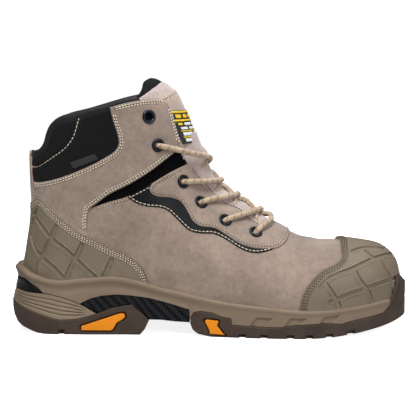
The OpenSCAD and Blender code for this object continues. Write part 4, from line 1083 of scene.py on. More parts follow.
toe_edge = over_crest(TOE_GUARD_EDGE[::-1], step=0.9)
low = [p for p in lift(SOLE_LINE, 0, -3) if 229 < p[0] < 300]
toe_low = LAST.path([[228.8, 19]] + low + [[309, 24]], LATERAL)
toe_low_medial = LAST.path([[228.8, 19]] + low + [[309, 24]], MEDIAL)
tip_up = LAST.flat(np.stack([np.full(50, float(LAST_END)), np.linspace(-0.93, 0.93, 50)], -1))
relief, feats = guard_relief(LAST, TOE_CHANNELS, (LATERAL, MEDIAL), (0.55, 2.1, 3.6, 5.1), 31)
feats += around(LAST, toe_edge, -np.arange(0.35, 6.6, 0.35))
toe = panel("toe_guard", LAST,
            [(toe_edge, 1), (toe_low_medial, 0), (tip_up[::-1], 0), (toe_low[::-1], 0)],
            [GUARD, GUARD], 0.0, 2.1, (), 0.8, 1.0, relief, feats, weld=0.05)
settle(toe, "lower", "guard_rubber", "toe_guard")
# The toe guard's stitch rows are dark dashes only, painted shade of its stitch holes.
for at in (1.35, 2.85, 4.35):
    dashes, _ = stitch_row(LAST, LAST.inset(toe_edge, -at), 2.0, 2.3, 0.55, 0.4)
    hole_shade_marks.setdefault("toe_guard", []).extend(dashes)

heel_edge = round_back(HEEL_GUARD_EDGE, 0.9)
relief, feats = guard_relief(WRAP, HEEL_CHANNELS, (LATERAL, MEDIAL), (0.5, 3.9, 5.4), 33)
feats += around(WRAP, heel_edge, np.arange(0.35, 6.6, 0.35))
feats += around(WRAP, heel_edge, -np.arange(0.35, 6.6, 0.35))
heel_low = [[13, 43.5]] + [p for p in lift(SOLE_LINE, 0, -3) if 13 < p[0] < 108] + [[112, 36]]
heel = panel("heel_guard", WRAP, [(heel_edge, 1), (round_back(heel_low)[::-1], 0)],
             [GUARD, GUARD], 0.0, 2.1, (), 0.8, 1.0, relief, feats)
settle(heel, "lower", "guard_rubber", "heel_guard")
for at in (1.6, 2.9, 4.6):
    sew("heel_guard", WRAP, WRAP.inset(heel_edge, at), 2.05, 2.2, 0.58, 0.33)


# ---- shaft
for side, tag in ((LATERAL, "lateral"), (MEDIAL, "medial")):
    k = 0 if side < 0 else 1
    soft = LAST.path([[22, 117.4]] + SOFTSHELL_EDGE[1:], side)
    top = LAST.path([[83.2, 176.4], [95, 179.6], [106, 181.5], [115, 182], [121, 181.4],
                     FACING_HIGH[k][-1]], side)
    front = LAST.path(FACING_HIGH[k], side)[::-1]
    low = LAST.path(FLEX_HIGH + ([] if side < 0 else [[143, 149]]), side)[::-1]
    tail = LAST.path([[66, 98], [65.2, 94], [64.4, 88], [64.8, 82], [66.6, 75]], side)
    under = LAST.path([[66.6, 75], [54, 78.5], [40, 89], [31, 98], [27.5, 100]], side)
    rear = LAST.path([[27.5, 100], [25.5, 106], [22, 117.4]], side)
    parts = [(soft, 1), (top, 1), (front, 1), (low, 1), (tail, 1), (under, 0), (rear, 1)]
    relief = skin(41 + k, (1.5, 3.1), 0.32, 0.5, 0.22)
    panel_up = panel(f"ankle_panel_{tag}", LAST, parts, [NUBUCK, CUT], 0.02, 1.8,
                     eyelet_rings(UPPER_EYELETS, side, 3.3), 0.7, 1.7, relief)
    settle(panel_up, LEG_BEND, "nubuck", f"ankle_panel_{tag}")
    turn = 1 if side < 0 else -1
    for at in (1.5, 3.1):
        for line in (soft[2:-4], top[3:-3], front[3:-3], np.vstack([low[2:], tail[1:-6]])):
            sew("ankle_panel", LAST, LAST.inset(line, -at * turn), 1.75, 2.3, 0.66, 0.5)


def shell_relief(p, flat, dist):
    d = 0.9 * fade(dist, 0.5, 9) - 0.3 + 0.25 * wobble(p, 12, 51)
    return d


front_x = [[95, 180.2], [96, 168], [98, 150], [96, 139]]
shell_top = round_back(SEAM_LINE[:-1], 1.2)
shell_low = round_back([[19.5, 110], [26, 111], [44, 116], [68, 126], [82, 132], [96, 139]])
shell_front = WRAP.path(front_x, LATERAL)
shell_front_medial = WRAP.path(front_x, MEDIAL)
seam = round_back([[20.5, 129], [25, 129.6], [37, 137], [48, 145], [53, 151], [56, 157],
                   [58, 164], [59.6, 169]], 1.0)


def shell_uv(p, flat):
    """Cloth laid on the slant of the ankle."""
    return np.stack([flat[:, 1] * 1.35 + p[:, 2] * 0.35, p[:, 2] * 1.06 - flat[:, 1] * 0.5], -1)


def shell_shape(p, flat, dist):
    near = polyline_distance(p, [WRAP.point(seam)])
    return shell_relief(p, flat, dist) - 0.75 * np.exp(-(near / 1.3) ** 2)


softshell = panel("collar_softshell", WRAP,
                  [(shell_top, 1), (shell_front_medial, 0), (shell_low[::-1], 0),
                   (shell_front[::-1], 0)], [SHELL, SHELL], -1.0, 0.1, (), 0.6,
                  1.8, shell_shape, around(WRAP, seam, (-1.3, -0.6, 0, 0.6, 1.3)),
                  uv=shell_uv)
settle(softshell, LEG_BEND, "softshell", "collar_panel_lateral", "collar_panel_medial",
       "collar_foam")
sew("softshell", WRAP, seam, -0.1, 3.2, 0.78, 0.36)

strip_line = [[18.6, 141.3], [19.6, 131], [21.2, 118], [24.5, 106], [27, 99]]
stay_lat, stay_med = WRAP.path(strip_line, LATERAL), WRAP.path(strip_line, MEDIAL)
cap_top = WRAP.even(np.vstack([stay_med[0], stay_lat[0]]), 1.0)
cap_low = WRAP.even(np.vstack([stay_lat[-1], stay_med[-1]]), 1.0)
backstay = panel("backstay", WRAP, [(stay_lat, 1), (cap_low, 0), (stay_med[::-1], 1),
                                    (cap_top, 1)], [NUBUCK, CUT], 0.0, 1.7, (), 0.6, 1.4,
                 skin(61, (1.3,), 0.25, 0.3, 0.1))
settle(backstay, LEG_BEND, "nubuck", "backstay")
sew("backstay", WRAP, WRAP.inset(stay_lat[2:-2], -1.3), 1.6, 2.4, 0.5, 0.3, dim=True)
sew("backstay", WRAP, WRAP.inset(stay_med[2:-2], 1.3), 1.6, 2.4, 0.5, 0.3, dim=True)

tab = LAST.path([[52, 134], [54.4, 129.2], [73.6, 136.8], [71, 141], [52, 134]], LATERAL,
                smooth=False)
side_label = panel("side_label", LAST, [(tab[:-1], 1)], [LABEL, LABEL], 0.5, 1.25, (), 0.25, 1.6,
                   uv=lambda p, flat: p[:, [0, 2]])
settle(side_label, "shaft", "label_cloth", "side_label")



# ---- collar roll and linings
def by_share(last, line, n):
    """The same flat path with n evenly spaced points."""
    p = last.point(line)
    run = np.r_[0, np.cumsum(np.linalg.norm(np.diff(p, axis=0), axis=1))]
    t = np.linspace(0, run[-1], n)
    return np.stack([np.interp(t, run, line[:, k]) for k in (0, 1)], -1)


def paired(seam_points, top_points, n):
    """The seam and the top of the roll, matched point for point by side-view place."""
    out = []
    for side in (LATERAL, MEDIAL):
        a = WRAP.path(seam_points, side, step=1.0)
        b = WRAP.path(top_points, side, step=1.0)
        out.append((by_share(WRAP, a, n), by_share(WRAP, b, n)))
    seam_line = np.vstack([out[0][0][::-1], out[1][0]])
    top_line = np.vstack([out[0][1][::-1], out[1][1]])
    return seam_line, top_line


seam_flat, top_flat = paired(SEAM_LINE, TOP_LINE[:-1], 110)
ring_pts = []
for phi in np.linspace(0, math.pi, 21):
    h = max(math.sin(phi), 0) ** 0.75
    ring_pts.append((h, -4.0 + 4.6 * math.cos(phi)))
ring_pts += [(-0.9, -8.3), (-0.9, -4.0), (-0.9, -0.4)]
stack = []
puffy = 0.25 * np.sin(np.linspace(0, 46, len(seam_flat)))
for h, t in ring_pts:
    uv = seam_flat + (top_flat - seam_flat) * h
    stack.append(WRAP.off(uv, t + (puffy if h > 0.2 else 0)))
roll = np.stack(stack, 1)
n, c = roll.shape[:2]
faces = [(i * c + j, i * c + (j + 1) % c, (i + 1) * c + (j + 1) % c, (i + 1) * c + j)
         for i in range(n - 1) for j in range(c)]
faces += [tuple(range(c))[::-1], tuple((n - 1) * c + j for j in range(c))]
collar = new_mesh("collar_roll", roll.reshape(-1, 3), faces, [BINDING], sharp=60)
settle(collar, "shaft", "softshell", "collar_binding")


def lining_uv(p, flat):
    return np.stack([flat[:, 1] * 1.3, p[:, 2]], -1)


def lining_shape(p, flat, dist):
    quilt = 0.5 * np.sin(p[:, 2] / 5.5) * fade(p[:, 2], 110, 130)
    return quilt * 0.4 + 3.2 * (1 - fade(p[:, 2], 92, 122)) + 0.2 * wobble(p, 10, 71)


inner_top = round_back(lift(SEAM_LINE, 0, -1.5), 2.0)
inner_low = round_back([[14, 49], [30, 49], [60, 48], [96, 49]], 2.0)
inner_front = [[106, 180], [107, 172], [112, 152], [116, 140], [124, 118], [124, 96], [112, 70],
               [96, 49]]
lining = panel("shaft_lining", WRAP,
               [(inner_top, 0), (WRAP.path(inner_front, MEDIAL, step=2.0), 0),
                (inner_low[::-1], 0), (WRAP.path(inner_front, LATERAL, step=2.0)[::-1], 0)],
               [LINING, LINING], -9.0, -7.6, (), 0.3, 3.0, lining_shape, uv=lining_uv)
settle(lining, LEG_BEND, "lining_mesh", "shaft_lining", "lining_fold")

# ---- tongue


def curl(obj):
    """Bends the top of the tongue back over the leg."""
    mesh = obj.data
    co = np.empty(len(mesh.vertices) * 3)
    mesh.vertices.foreach_get("co", co)
    co = co.reshape(-1, 3)
    up = np.maximum(co[:, 2] / MM - 183.5, 0)
    front = fade(co[:, 0] / MM, 98, 112)
    co[:, 0] -= 0.052 * up ** 2 * MM * front
    mesh.vertices.foreach_set("co", co.ravel())
    mesh.update()
    return obj


def tongue_shape(seed, creases=(), puff=0.8):
    def relief(p, flat, dist):
        d = puff * (1 - np.exp(-dist / 5)) - 0.4 + 0.3 * wobble(p, 11, seed)
        for s in creases:
            d = d - 0.8 * np.exp(-((flat[:, 0] / FLAT_S - s) / 0.055) ** 2)
        return d
    return relief


low_parts = [(LAST.path(TONGUE_EDGE[2:-1], LATERAL), 1),
             (over_crest([[200, 66], [208, 66], [215, 82]]), 1),
             (LAST.path(TONGUE_EDGE[2:-1], MEDIAL)[::-1], 1),
             (over_crest([[111, 152], [130, 153], [152, 156]])[::-1], 0)]


def tongue_body(p, flat, dist):
    crest = np.exp(-(p[:, 1] / 12) ** 2) * fade(p[:, 0], 128, 150)
    return tongue_shape(81, (4.62, 5.35), 0.9)(p, flat, dist) + 3.0 * crest


low_tongue = panel("tongue_lower", LAST, low_parts, [TONGUE, LINING], -7.2, -2.0, (), 2.2, 2.0,
                   tongue_body, cut=0)
settle(low_tongue, LEG_BEND, "tongue_nubuck", "tongue_base_shell", "tongue_base_foam",
       "tongue_base_lining", "tongue_fold")

pad_edge = [[110, 149], [106, 160], [102, 172], [101, 179], [105, 184], [109.5, 189],
            [115, 193.2], [121.5, 197], [131.6, 199.6]]
pad = panel("tongue_pad", LAST, [(over_crest(pad_edge), 1),
                                 (over_crest([[110, 149], [130, 147], [153, 150]])[::-1], 0)],
            [LINING, LINING], -9.6, -4.0, (), 2.7, 2.0, tongue_shape(83, (), 1.0),
            uv=lambda p, flat: flat * 1.2)
curl(pad)
settle(pad, TONGUE_BEND, "lining_mesh", "tongue_neck_foam", "tongue_neck_lining",
       "tongue_tip_foam", "tongue_tip_lining")

shell_edge = [[112, 149], [107, 160], [102.5, 172], [101, 178.5], [107, 184.2], [117.5, 190.2],
              [131.4, 195.8]]
upper = panel("tongue_upper", LAST,
              [(over_crest(shell_edge), 1),
               (over_crest([[112, 149], [130, 148], [153, 151]])[::-1], 0)],
              [TONGUE, BINDING], -5.2, -2.05, (), 1.6, 1.8, tongue_shape(85, (), 1.0))
curl(upper)
settle(upper, TONGUE_BEND, "tongue_nubuck", "tongue_neck_shell", "tongue_tip_shell")

face_top = over_crest([[118, 180.8], [126, 185.2], [133.4, 189.4]])
face_low = over_crest([[129, 147], [140, 144], [152.5, 145]])
face_side = [[118, 180.8], [121, 170], [126, 156], [129, 147]]
facing_piece = panel("tongue_facing", LAST,
                     [(face_top, 1), (LAST.path(face_side, MEDIAL), 1), (face_low[::-1], 1),
                      (LAST.path(face_side, LATERAL)[::-1], 1)],
                     [FACING, CUT], -2.2, -0.75, (), 0.6, 1.6, skin(87, (1.6,), 0.25, 0.3, 0.15))
curl(facing_piece)
settle(facing_piece, TONGUE_BEND, "tongue_nubuck")
sew("tongue", LAST, LAST.inset(face_top, -1.7), -0.95, 2.6, 0.6, 0.32)

label_left = LAST.path([[127.4, 173.2], [138.4, 147.2]], LATERAL, smooth=False, step=0.8)


def label_flat(f, g):
    """Flat place on the tongue label: f down its height, g from its lateral edge across."""
    i = np.asarray(f, float) * (len(label_left) - 1)
    s = np.interp(i, np.arange(len(label_left)), label_left[:, 0])
    w = np.interp(i, np.arange(len(label_left)), label_left[:, 1])
    return np.stack([s, w + (-2 * w) * np.asarray(g, float)], -1)


def label_patch(name, f0, f1, g0, g1, mat, t0, t1):
    k = np.linspace(0, 1, 24)
    loop = np.vstack([label_flat(f0 + 0 * k, g0 + (g1 - g0) * k),
                      label_flat(f0 + (f1 - f0) * k, g1 + 0 * k),
                      label_flat(f1 + 0 * k, g1 + (g0 - g1) * k),
                      label_flat(f1 + (f0 - f1) * k, g0 + 0 * k)])
    loop = LAST.even(loop, 0.7, True)
    patch = panel(name, LAST, [(loop, 1)], [mat], t0, t1, (), 0.2, 1.6,
                  uv=lambda p, flat: flat * 1.2)
    settle(patch, "shaft", "label_cloth")
    return patch


label = label_patch("tongue_label", 0.0, 1.0, 0.0, 1.0, LABEL, -0.9, 0.15)
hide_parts("tongue_label")
bars = [(0.015, 0.075, 0.0, 1.0, LABEL_YELLOW), (0.27, 0.325, 0.0, 1.0, LABEL_YELLOW),
        (0.60, 0.632, 0.06, 0.94, LABEL_YELLOW), (0.79, 0.822, 0.06, 0.94, LABEL_YELLOW)]
for g in (0.12, 0.27, 0.42, 0.57, 0.72, 0.86):
    bars.append((0.12, 0.225, g - 0.05, g + 0.05, LABEL_YELLOW))
bars.append((0.37, 0.44, 0.06, 0.14, LABEL_YELLOW))
for f0, f1, spans in ((0.37, 0.455, ((0.18, 0.36), (0.4, 0.62), (0.66, 0.9))),
                      (0.50, 0.575, ((0.08, 0.22), (0.26, 0.5), (0.54, 0.72), (0.76, 0.92))),
                      (0.66, 0.765, ((0.08, 0.3), (0.34, 0.56), (0.6, 0.9))),
                      (0.85, 0.945, ((0.08, 0.24), (0.28, 0.56), (0.62, 0.9)))):
    bars += [(f0, f1, a, b, LABEL_WHITE) for a, b in spans]
for i, (f0, f1, g0, g1, mat) in enumerate(bars):
    label_patch(f"tongue_label_bar_{i:02d}", f0, f1, g0, g1, mat, 0.1, 0.32)

# ---- eyelets
RING = [(2.55, -3.4), (2.55, 0.9), (2.75, 1.55), (3.2, 2.25), (3.8, 2.75), (4.45, 2.9),
        (5.0, 2.7), (5.35, 2.2), (5.4, 1.7), (5.1, 1.55), (3.2, 1.5), (3.2, -3.4)]


def eyelet(p, side, sides=44):
    uv = LAST.flat(place([p], side))
    o, nor, du, _ = LAST.frame(uv)
    a = unit(du)[0]
    b = np.cross(nor[0], a)
    ang = np.linspace(0, 2 * math.pi, sides, endpoint=False)
    prof = spline(RING[:9], 0.35)
    prof = np.vstack([prof, RING[9:]])
    k = len(prof)
    verts = np.vstack([o[0] + nor[0] * z + r * (np.cos(ang)[:, None] * a + np.sin(ang)[:, None] * b)
                       for r, z in prof])
    faces = [(i * sides + j, (i + 1) % k * sides + j, (i + 1) % k * sides + (j + 1) % sides,
              i * sides + (j + 1) % sides) for i in range(k) for j in range(sides)]
    return verts, faces, np.zeros((len(verts), 2))


def well(p, side):
    """Dark backing seen through an eyelet."""
    uv = LAST.flat(place([p], side))
    o, nor, _, _ = LAST.frame(uv)
    return tube([o[0] - nor[0] * 1.2, o[0] - nor[0] * 2.6], 3.0, 24)


for key, rows, body in (("upper_eyelets", UPPER_EYELETS, "shaft"),
                        ("lower_eyelets", LOWER_EYELETS, "lower")):
    rings = [eyelet(p, side) for side, row in zip((LATERAL, MEDIAL), rows) for p in row]
    v, f, uv = join(rings)
    obj = new_mesh(key + "_rings", v, f, [METAL], sharp=45)
    settle(obj, body, "eyelet_metal", key)
    v, f, uv = join([well(p, side) for side, row in zip((LATERAL, MEDIAL), rows) for p in row])
    back = new_mesh(key + "_wells", v, f, [LINING], uv=uv)
    settle(back, body, "lining_mesh")

# ---- laces
LACE_R = 2.25


def lace_path(a, b, side, over, reach=0.80):
    """Run of lace out of eyelet a, across the tongue, and under the other facing towards b."""
    fa, fb = LAST.flat(place([a], side))[0], LAST.flat(place([b], -side))[0]
    u = np.linspace(0, reach, 40)[:, None]
    flat = fa + (fb - fa) * u
    flat[:, 0] += 2.2 * np.sin(u[:, 0] / reach * math.pi) * (1 if over else -0.6)
    mid = 4.7 if over else 0.9
    t = np.interp(u[:, 0], [0, 0.05, 0.12, 0.2, 0.34, 0.5, 0.62, 0.72, 0.8],
                  [1.2, 3.2, 4.4, 4.5, (4.4 if over else 2.2), mid, (2.6 if over else 0.7),
                   0.2, -2.6])
    line = LAST.off(flat, t)
    start = LAST.off(np.repeat(fa[None], 2, 0), np.array([-3.0, -0.6]))
    return spline(np.vstack([start, line[1::3]]), 1.1)


def lace_object(name, paths, carrier, node):
    pieces = [tube(p, LACE_R, 14) for p in paths]
    v, f, uv = join(pieces)
    obj = new_mesh(name, v, f, [LACE], uv=uv, sharp=60)
    settle(obj, carrier, "lace_cord", node)


low_paths = []
for i in range(3):
    low_paths.append(lace_path(LOWER_EYELETS[0][i], LOWER_EYELETS[1][i + 1], LATERAL, True))
    low_paths.append(lace_path(LOWER_EYELETS[1][i], LOWER_EYELETS[0][i + 1], MEDIAL, False))
fa = LAST.flat(place([LOWER_EYELETS[0][3]], LATERAL))[0]
fb = LAST.flat(place([LOWER_EYELETS[1][3]], MEDIAL))[0]
u = np.linspace(0, 1, 40)[:, None]
flat = fa + (fb - fa) * u
flat[:, 0] += 5.0 * np.sin(u[:, 0] * math.pi)
t = np.interp(u[:, 0], [0, 0.05, 0.12, 0.3, 0.5, 0.7, 0.88, 0.95, 1],
              [0.5, 3.0, 4.3, 4.2, 2.6, 4.2, 4.3, 3.0, 0.5])
bar = np.vstack([LAST.off(fa[None], [-3.0]), LAST.off(flat, t)[1:-1:3], LAST.off(fb[None], [-3.0])])
low_paths.append(spline(bar, 1.1))
lace_object("lace_runs", low_paths, "lower", "lace")
up_paths = [lace_path(UPPER_EYELETS[0][1], LOWER_EYELETS[1][0], LATERAL, True),
            lace_path(UPPER_EYELETS[1][1], LOWER_EYELETS[0][0], MEDIAL, False)]
lace_object("lace_ankle_runs", up_paths, LEG_BEND, "lace_ankle_run")

# ---- thread, and painted shade of the needle holes
HOLE_SLOT = {"toe_guard": "guard_rubber", "heel_guard": "guard_rubber", "softshell": "softshell",
             "wave": "trim_black", "gusset": "trim_black", "tongue": "tongue_nubuck"}
for key in sorted(set(threads) | set(dim_threads) | set(hole_shade_marks)):
    carrier = "lower" if key.endswith("guard") else TONGUE_BEND if key == "tongue" else LEG_BEND
    for tag, group, mat, slot in (
            ("stitches", threads, THREAD, "lace_cord"),
            ("stitches_dim", dim_threads, THREAD_DIM, "lace_cord"),
            ("needle_holes", hole_shade_marks, HOLE_SHADE, HOLE_SLOT.get(key, "nubuck"))):
        if group.get(key):
            v, f, uv = join(group[key])
            obj = new_mesh(f"{key}_{tag}", v, f, [mat], uv=uv, sharp=60)
            if key == "tongue":
                curl(obj)
            settle(obj, carrier, slot)

# ---- sole
HEEL_TREAD_TOP = [[-5, 24.6], [1, 23.8], [8, 21.4], [17, 18.4], [26, 15.8], [34.6, 13.2],
                  [43, 11.4], [55, 12], [63, 14], [73, 17], [82, 20.8], [92, 22.8],
                  [99, 23.8], [102, 20.8], [109, 14.8], [112, 11.9]]
HEEL_TREAD_LOW = [[0.5, 22], [1.5, 17], [3.6, 11.5], [7, 6.8], [12, 4], [18, 2.2], [24, 0.6],
                  [30, 0], [105, 0], [109, 5], [112, 11.6]]
WEDGE_TOP = [[-5, 33.2], [4, 33.2], [17, 32.4], [29, 32.2], [36, 31.4], [43, 29.8], [51, 27.2],
             [59, 24], [71, 16.8]]
LIP = [[-10, 51.5], [8, 51.5], [13, 50.5], [20, 47.6], [27, 45.4], [34, 43.6], [42, 42.8],
       [50, 43.4], [58, 44.4]] + SOLE_LINE[4:]
SHANK_TOP = [[59, 24.6], [67, 28.6], [75, 30.6], [86, 31.6], [98, 31], [113, 29],
             [129, 25], [144, 20.6]]
SHANK_LOW = [[60.5, 24], [71.2, 17.6], [73, 17.2], [82, 21], [92, 23], [99, 24], [102, 21],
             [109, 15], [112, 12], [121, 12], [132, 11], [144, 10.6]]
FORE_TOP = [[144, 10.4], [145, 16], [147, 19], [152, 20], [161, 19], [169, 16], [176, 15],
            [176.6, 10], [198, 9], [213, 9], [228, 11], [245, 12], [260, 11.4], [272, 14],
            [286, 16], [294, 17.4], [300, 23], [303, 30], [306, 37], [309.5, 45.5], [312, 44],
            [317, 37]]
FORE_LOW = [[144, 10], [146, 5], [150, 2], [160, 0]] + TOE_SPRING
HEEL_POCKET = [[59, 3], [59, 7], [62, 8], [89, 17], [93, 17], [94, 14], [92, 12], [87, 9],
               [85, 5], [83, 3]]
FORE_POCKET = [[155, 12], [156, 14], [166, 13], [166, 11], [165, 9], [168, 5], [171, 1.5],
               [159, 2], [158, 6]]
MID_RECESS = [[[190, 9], [195, 16], [207, 16], [201, 9]], [[216, 9], [221, 16], [233, 16],
              [227, 9]], [[243, 11], [247, 17], [258, 18], [254, 11]]]
LUGS = [184, 200.5, 221, 235.5, 251, 268]
HEEL_LUGS = [43.5, 66]
TREAD_DEPTH = 4.5


def lug_gap(x, centres, half):
    """1 inside the gaps between lugs, 0 on the lugs."""
    out = np.zeros_like(x)
    for c in centres:
        out = np.maximum(out, 1 - fade(np.abs(x - c), half - 0.5, half + 0.5))
    return out


def fore_wall(side, x, z, k):
    """Lug gaps, the insert's pocket, then the bumper leaning back over the toe."""
    ground = lerp(FORE_LOW)(x)
    top = np.maximum(lerp(FORE_TOP)(x), ground + 0.02)
    d = -0.3 + rounded(k, z, ground, top, 1.1, 1.0)
    d -= 3.4 * lug_gap(x, LUGS, 2.4) * (1 - fade(z - ground, 2.4, 3.2))
    d -= 3.0 * (1 - fade(poly_gap(x, z, FORE_POCKET), 0.5, 1.1))
    d -= 3.6 * fade(x, 296, 308) * fade(z, 38, 47)
    d -= 0.7 * fade(x, 296, 303) * np.exp(-((z - np.interp(x, [296, 318], [12, 27])) / 0.9) ** 2)
    return d


def fore_under(x, y):
    across = fade(np.abs(y), 3.4, 4.4)
    groove = np.maximum(lug_gap(x + 0.14 * np.abs(y) - 4.5, LUGS, 3.0), 1 - across)
    rim = sole_half(LATERAL, x, 0) - 9
    groove = groove * (1 - fade(np.abs(y), rim - 1.5, rim + 1.5))
    return TREAD_DEPTH * groove * fade(x, 166, 176) * (1 - fade(x, 285, 292))


def rear_pull(x, z):
    """Draws the back of the heel in above its widest line."""
    return -4.2 * (1 - fade(x, 0, 22)) * fade(z, 23, 42)


def heel_wall(side, x, z, k):
    ground, top = lerp(HEEL_TREAD_LOW)(x), lerp(HEEL_TREAD_TOP)(x)
    d = -0.3 + rounded(k, z, ground, top, 1.1, 0.9)
    d -= 3.2 * lug_gap(x, HEEL_LUGS[:1], 2.2) * (1 - fade(z - ground, 3.2, 4.2))
    d -= 3.0 * (1 - fade(poly_gap(x, z, HEEL_POCKET), 0.5, 1.1))
    return d + rear_pull(x, z)


def heel_under(x, y):
    groove = np.maximum(lug_gap(x, HEEL_LUGS, 2.5), 1 - fade(np.abs(y), 2.6, 3.6))
    groove = groove * (1 - fade(np.abs(y), 26, 29))
    return TREAD_DEPTH * groove * fade(x, 24, 30) * (1 - fade(x, 92, 98))


heel_tread = loft("outsole_heel", 1, 112, lerp(HEEL_TREAD_LOW), lerp(HEEL_TREAD_TOP), 0,
                  heel_wall, [BROWN], 34, 44, heel_under)
settle(heel_tread, "lower", "outsole_rubber", "outsole")
fore_tread = loft("outsole_forefoot", 144, TOE_TIP, lerp(FORE_LOW), lerp(FORE_TOP), 0,
                  fore_wall, [BROWN], 34, 52, fore_under)
settle(fore_tread, "lower", "outsole_rubber")

CLIP_LOW = [[-5, 33.4], [4, 33.4], [17.3, 32.6], [28.6, 31.9]]
CLIP_TOP = [[-5, 41], [5, 41.4], [12.6, 42], [17.3, 40], [22.6, 37.2], [26, 35], [28.6, 32.4]]
CLIP = CLIP_LOW + CLIP_TOP[::-1]
lip_top = curve(LIP)


def mid_floor(x, gap=0.0):
    """Upper line of what lies under the midsole: wedge, shank, then forefoot tread."""
    return np.where(x < 59, lerp(WEDGE_TOP)(x), np.where(x < 144, lerp(SHANK_TOP)(x),
                                                        lerp(FORE_TOP)(x) + gap))


def mid_wall(side, x, z, k):
    """The lip bulges at the heel, then come the clip's seat, the hollow and the recesses."""
    low = mid_floor(x)
    high = lip_top(x)
    d = rounded(k, z, low, high, 0.5, 1.3)
    d += 1.3 * (1 - fade(x, 14, 40)) * np.exp(-((z - high + 3.4) / 3.2) ** 2)
    d -= 1.9 * (1 - fade(poly_gap(x, z, CLIP), 0.2, 0.8)) + 0.2 * (1 - fade(x, 22, 30))
    d += rear_pull(x, z)
    heel = 1 - fade(x, 120, 200)
    d += 0.9 * heel * np.exp(-((high - z - 2.6) / 2.4) ** 2)
    d -= 0.6 * heel * np.exp(-((high - z - 8.5) / 2.8) ** 2) * fade(x, 25, 50)
    for poly in MID_RECESS:
        d -= 1.3 * (1 - fade(poly_gap(x, z, poly), -0.4, 0.3))
    d += 0.5 * np.exp(-((high - z - 2.2) / 1.7) ** 2) * (1 - heel)
    return d


midsole = loft("midsole_body", 2, 299.4, lambda x: mid_floor(x, 0.1) + 0.15, lip_top, 0.5,
               mid_wall, [TAN], 36, 12, crown=lambda x, m: -1.5 * np.sin(m * math.pi))
settle(midsole, "lower", "midsole_foam", "midsole")


def wedge_wall(side, x, z, k):
    """Four grooves that run together towards the arch."""
    low, high = lerp(HEEL_TREAD_TOP)(x), lerp(WEDGE_TOP)(x)
    d = rounded(k, z, low, high, 0.4, 0.5)
    d += rear_pull(x, z)
    for share in (0.2, 0.39, 0.58, 0.78):
        away = (k - share) * np.maximum(high - low, 0.5)
        d -= 1.0 * np.exp(-(away / 0.42) ** 2) * fade(x, 2, 8) * (1 - fade(x, 58, 66))
    return d


wedge = loft("heel_wedge_body", 1.5, 71, lambda x: lerp(HEEL_TREAD_TOP)(x) + 0.3,
             lambda x: lerp(WEDGE_TOP)(x) - 0.4, 0.9, wedge_wall, [TAN_LIGHT], 44, 10, step=0.7)
settle(wedge, "lower", "heel_wedge_rubber", "heel_wedge")


def shank_wall(side, x, z, k):
    return rounded(k, z, lerp(SHANK_LOW)(x), lerp(SHANK_TOP)(x), 0.8, 0.5)


shank = loft("arch_shank_body", 60.5, 143.8, lambda x: lerp(SHANK_LOW)(x) + 0.1,
             lambda x: lerp(SHANK_TOP)(x) - 0.1, 1.3, shank_wall, [CARBON], 22, 10)
settle(shank, "lower", "shank_composite", "arch_shank")

clip = loft("heel_stabiliser_body", 0.6, 28.5, lerp(CLIP_LOW), lerp(CLIP_TOP), 0.1,
            lambda side, x, z, k: rounded(k, z, lerp(CLIP_LOW)(x), lerp(CLIP_TOP)(x), 0.7, 0.9)
            - 0.5 + rear_pull(x, z) * 0.9, [BLACK], 16, 10, step=0.5)
settle(clip, "lower", "black_moulding", "heel_stabiliser")


class Wall(Last):
    """One side wall of the sole, with X and Z as its flat coordinates."""

    def __init__(self, side):
        super().__init__()
        self.side = side

    def point(self, uv):
        y = self.side * sole_half(self.side, uv[:, 0], 0)
        return np.stack([uv[:, 0], y, uv[:, 1]], -1)

    def frame(self, uv):
        p, n, du, dv = super().frame(uv)
        return p, n * -self.side, du, dv


def shrink(outline, gap):
    """Closed outline drawn in by a gap."""
    pts = resample(np.array(outline + outline[:1], float), 0.6)[:-1]
    along = unit(np.roll(pts, -1, 0) - np.roll(pts, 1, 0))
    turn = 1 if signed_area(pts) > 0 else -1
    return pts + np.stack([-along[:, 1], along[:, 0]], -1) * gap * turn


for tag, outline in (("heel_tread_insert", HEEL_POCKET), ("forefoot_tread_insert", FORE_POCKET)):
    for side, name in ((LATERAL, "lateral"), (MEDIAL, "medial")):
        piece = panel(f"{tag}_{name}_body", Wall(side), [(shrink(outline, 0.35), 1)],
                      [YELLOW], -4.2, -0.7, (), 0.5, 1.2,
                      lambda p, flat, dist: 0.12 * wobble(p, 4, 91))
        if side > 0:
            piece.data.flip_normals()
        settle(piece, "lower", "insert_rubber", f"{tag}_{name}")

# ---- parts kept from the CAD
STEEL = plain("pressed_steel", (150, 152, 156), 0.32, 0.08, 80, 0.2, 900, metallic=0.9)
BOARD = plain("insole_board", (176, 160, 130), 0.9, 0.1, 120, 0.4, 900)
FOAM = plain("footbed_foam", (52, 54, 60), 0.85, 0.15, 200, 0.6, 1200, sheen=0.2)
SOFT_STRIP = plain("edge_strip_rubber", (60, 60, 62), 0.7, 0.1, 120, 0.3, 900)
COUNTER = plain("counter_board", (188, 178, 158), 0.8, 0.08, 100, 0.4, 900)
MESH = plain("lower_lining_mesh", (30, 30, 33), 0.85, 0.2, 300, 0.7, 1500, sheen=0.2)
for node, mat in (("puncture_plate", BOARD), ("insole_board", BOARD), ("footbed", FOAM),
                  ("steel_toe_cap", STEEL), ("toe_cap_edge_strip", SOFT_STRIP),
                  ("heel_counter", COUNTER), ("lower_lining", MESH)):
    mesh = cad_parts[node].data
    if not mesh.materials:
        mesh.materials.append(mat)
    for i in range(len(mesh.materials)):
        mesh.materials[i] = mat

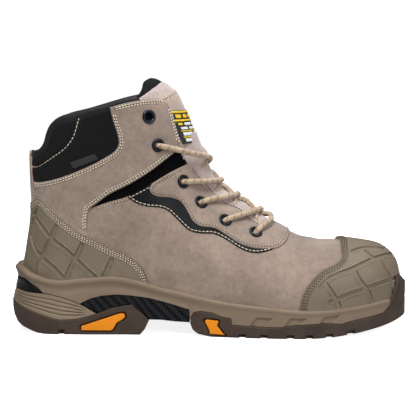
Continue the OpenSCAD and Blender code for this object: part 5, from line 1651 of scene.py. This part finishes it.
# ---- floor, light and camera
bpy.ops.mesh.primitive_plane_add(size=12, location=(0.16, 0, 0))
floor = bpy.context.object
floor.name = "floor"
backdrop = Nodes("studio_white")
direct = backdrop.add("ShaderNodeLightPath").outputs["Is Camera Ray"]
backdrop.bsdf.inputs["Emission Color"].default_value = (1, 1, 1, 1)
backdrop.put(backdrop.bsdf.inputs["Emission Strength"], backdrop.math("MULTIPLY", direct, 0.86))
floor.data.materials.append(backdrop.end(backdrop.mix(direct, srgb(178, 176, 174),
                                                      srgb(252, 252, 252)), 0.9, spec=0.0))

world = bpy.data.worlds.new("studio")
bpy.context.scene.world = world
world.use_nodes = True
sky = world.node_tree.nodes["Background"]
seen = world.node_tree.nodes.new("ShaderNodeLightPath").outputs["Is Camera Ray"]
level = world.node_tree.nodes.new("ShaderNodeMapRange")
level.inputs["To Min"].default_value = 0.13
level.inputs["To Max"].default_value = 1.05
world.node_tree.links.new(seen, level.inputs["Value"])
world.node_tree.links.new(level.outputs[0], sky.inputs["Strength"])
sky.inputs["Color"].default_value = (1, 1, 1, 1)


def softbox(name, place_at, aim, size, watts):
    """Area light at a place in metres."""
    data = bpy.data.lights.new(name, "AREA")
    data.shape = "RECTANGLE"
    data.size, data.size_y = size
    data.energy = watts
    lamp = bpy.data.objects.new(name, data)
    lamp.location = place_at
    lamp.rotation_euler = (Vector(aim) - Vector(place_at)).to_track_quat("-Z", "Y").to_euler()
    bpy.context.scene.collection.objects.link(lamp)
    return lamp


CENTRE = (0.16, 0, 0.09)
softbox("key_light", (-0.15, -0.75, 1.3), CENTRE, (0.5, 0.5), 18)
softbox("fill_light", (1.1, -1.2, 0.6), CENTRE, (0.8, 0.8), 9.5)
softbox("top_light", (0.35, 0.2, 1.4), CENTRE, (0.7, 0.7), 11)

camera_data = bpy.data.cameras.new("camera")
camera_data.lens = 108.9
camera_data.sensor_width = 36
camera = bpy.data.objects.new("camera", camera_data)
camera.location = (0.158, -1.0, 0.207)
gaze = Vector((0.158, 0, 0.095)) - camera.location
camera.rotation_euler = gaze.to_track_quat("-Z", "Y").to_euler()
bpy.context.scene.collection.objects.link(camera)
bpy.context.scene.camera = camera
bpy.context.scene.view_settings.view_transform = "Standard"
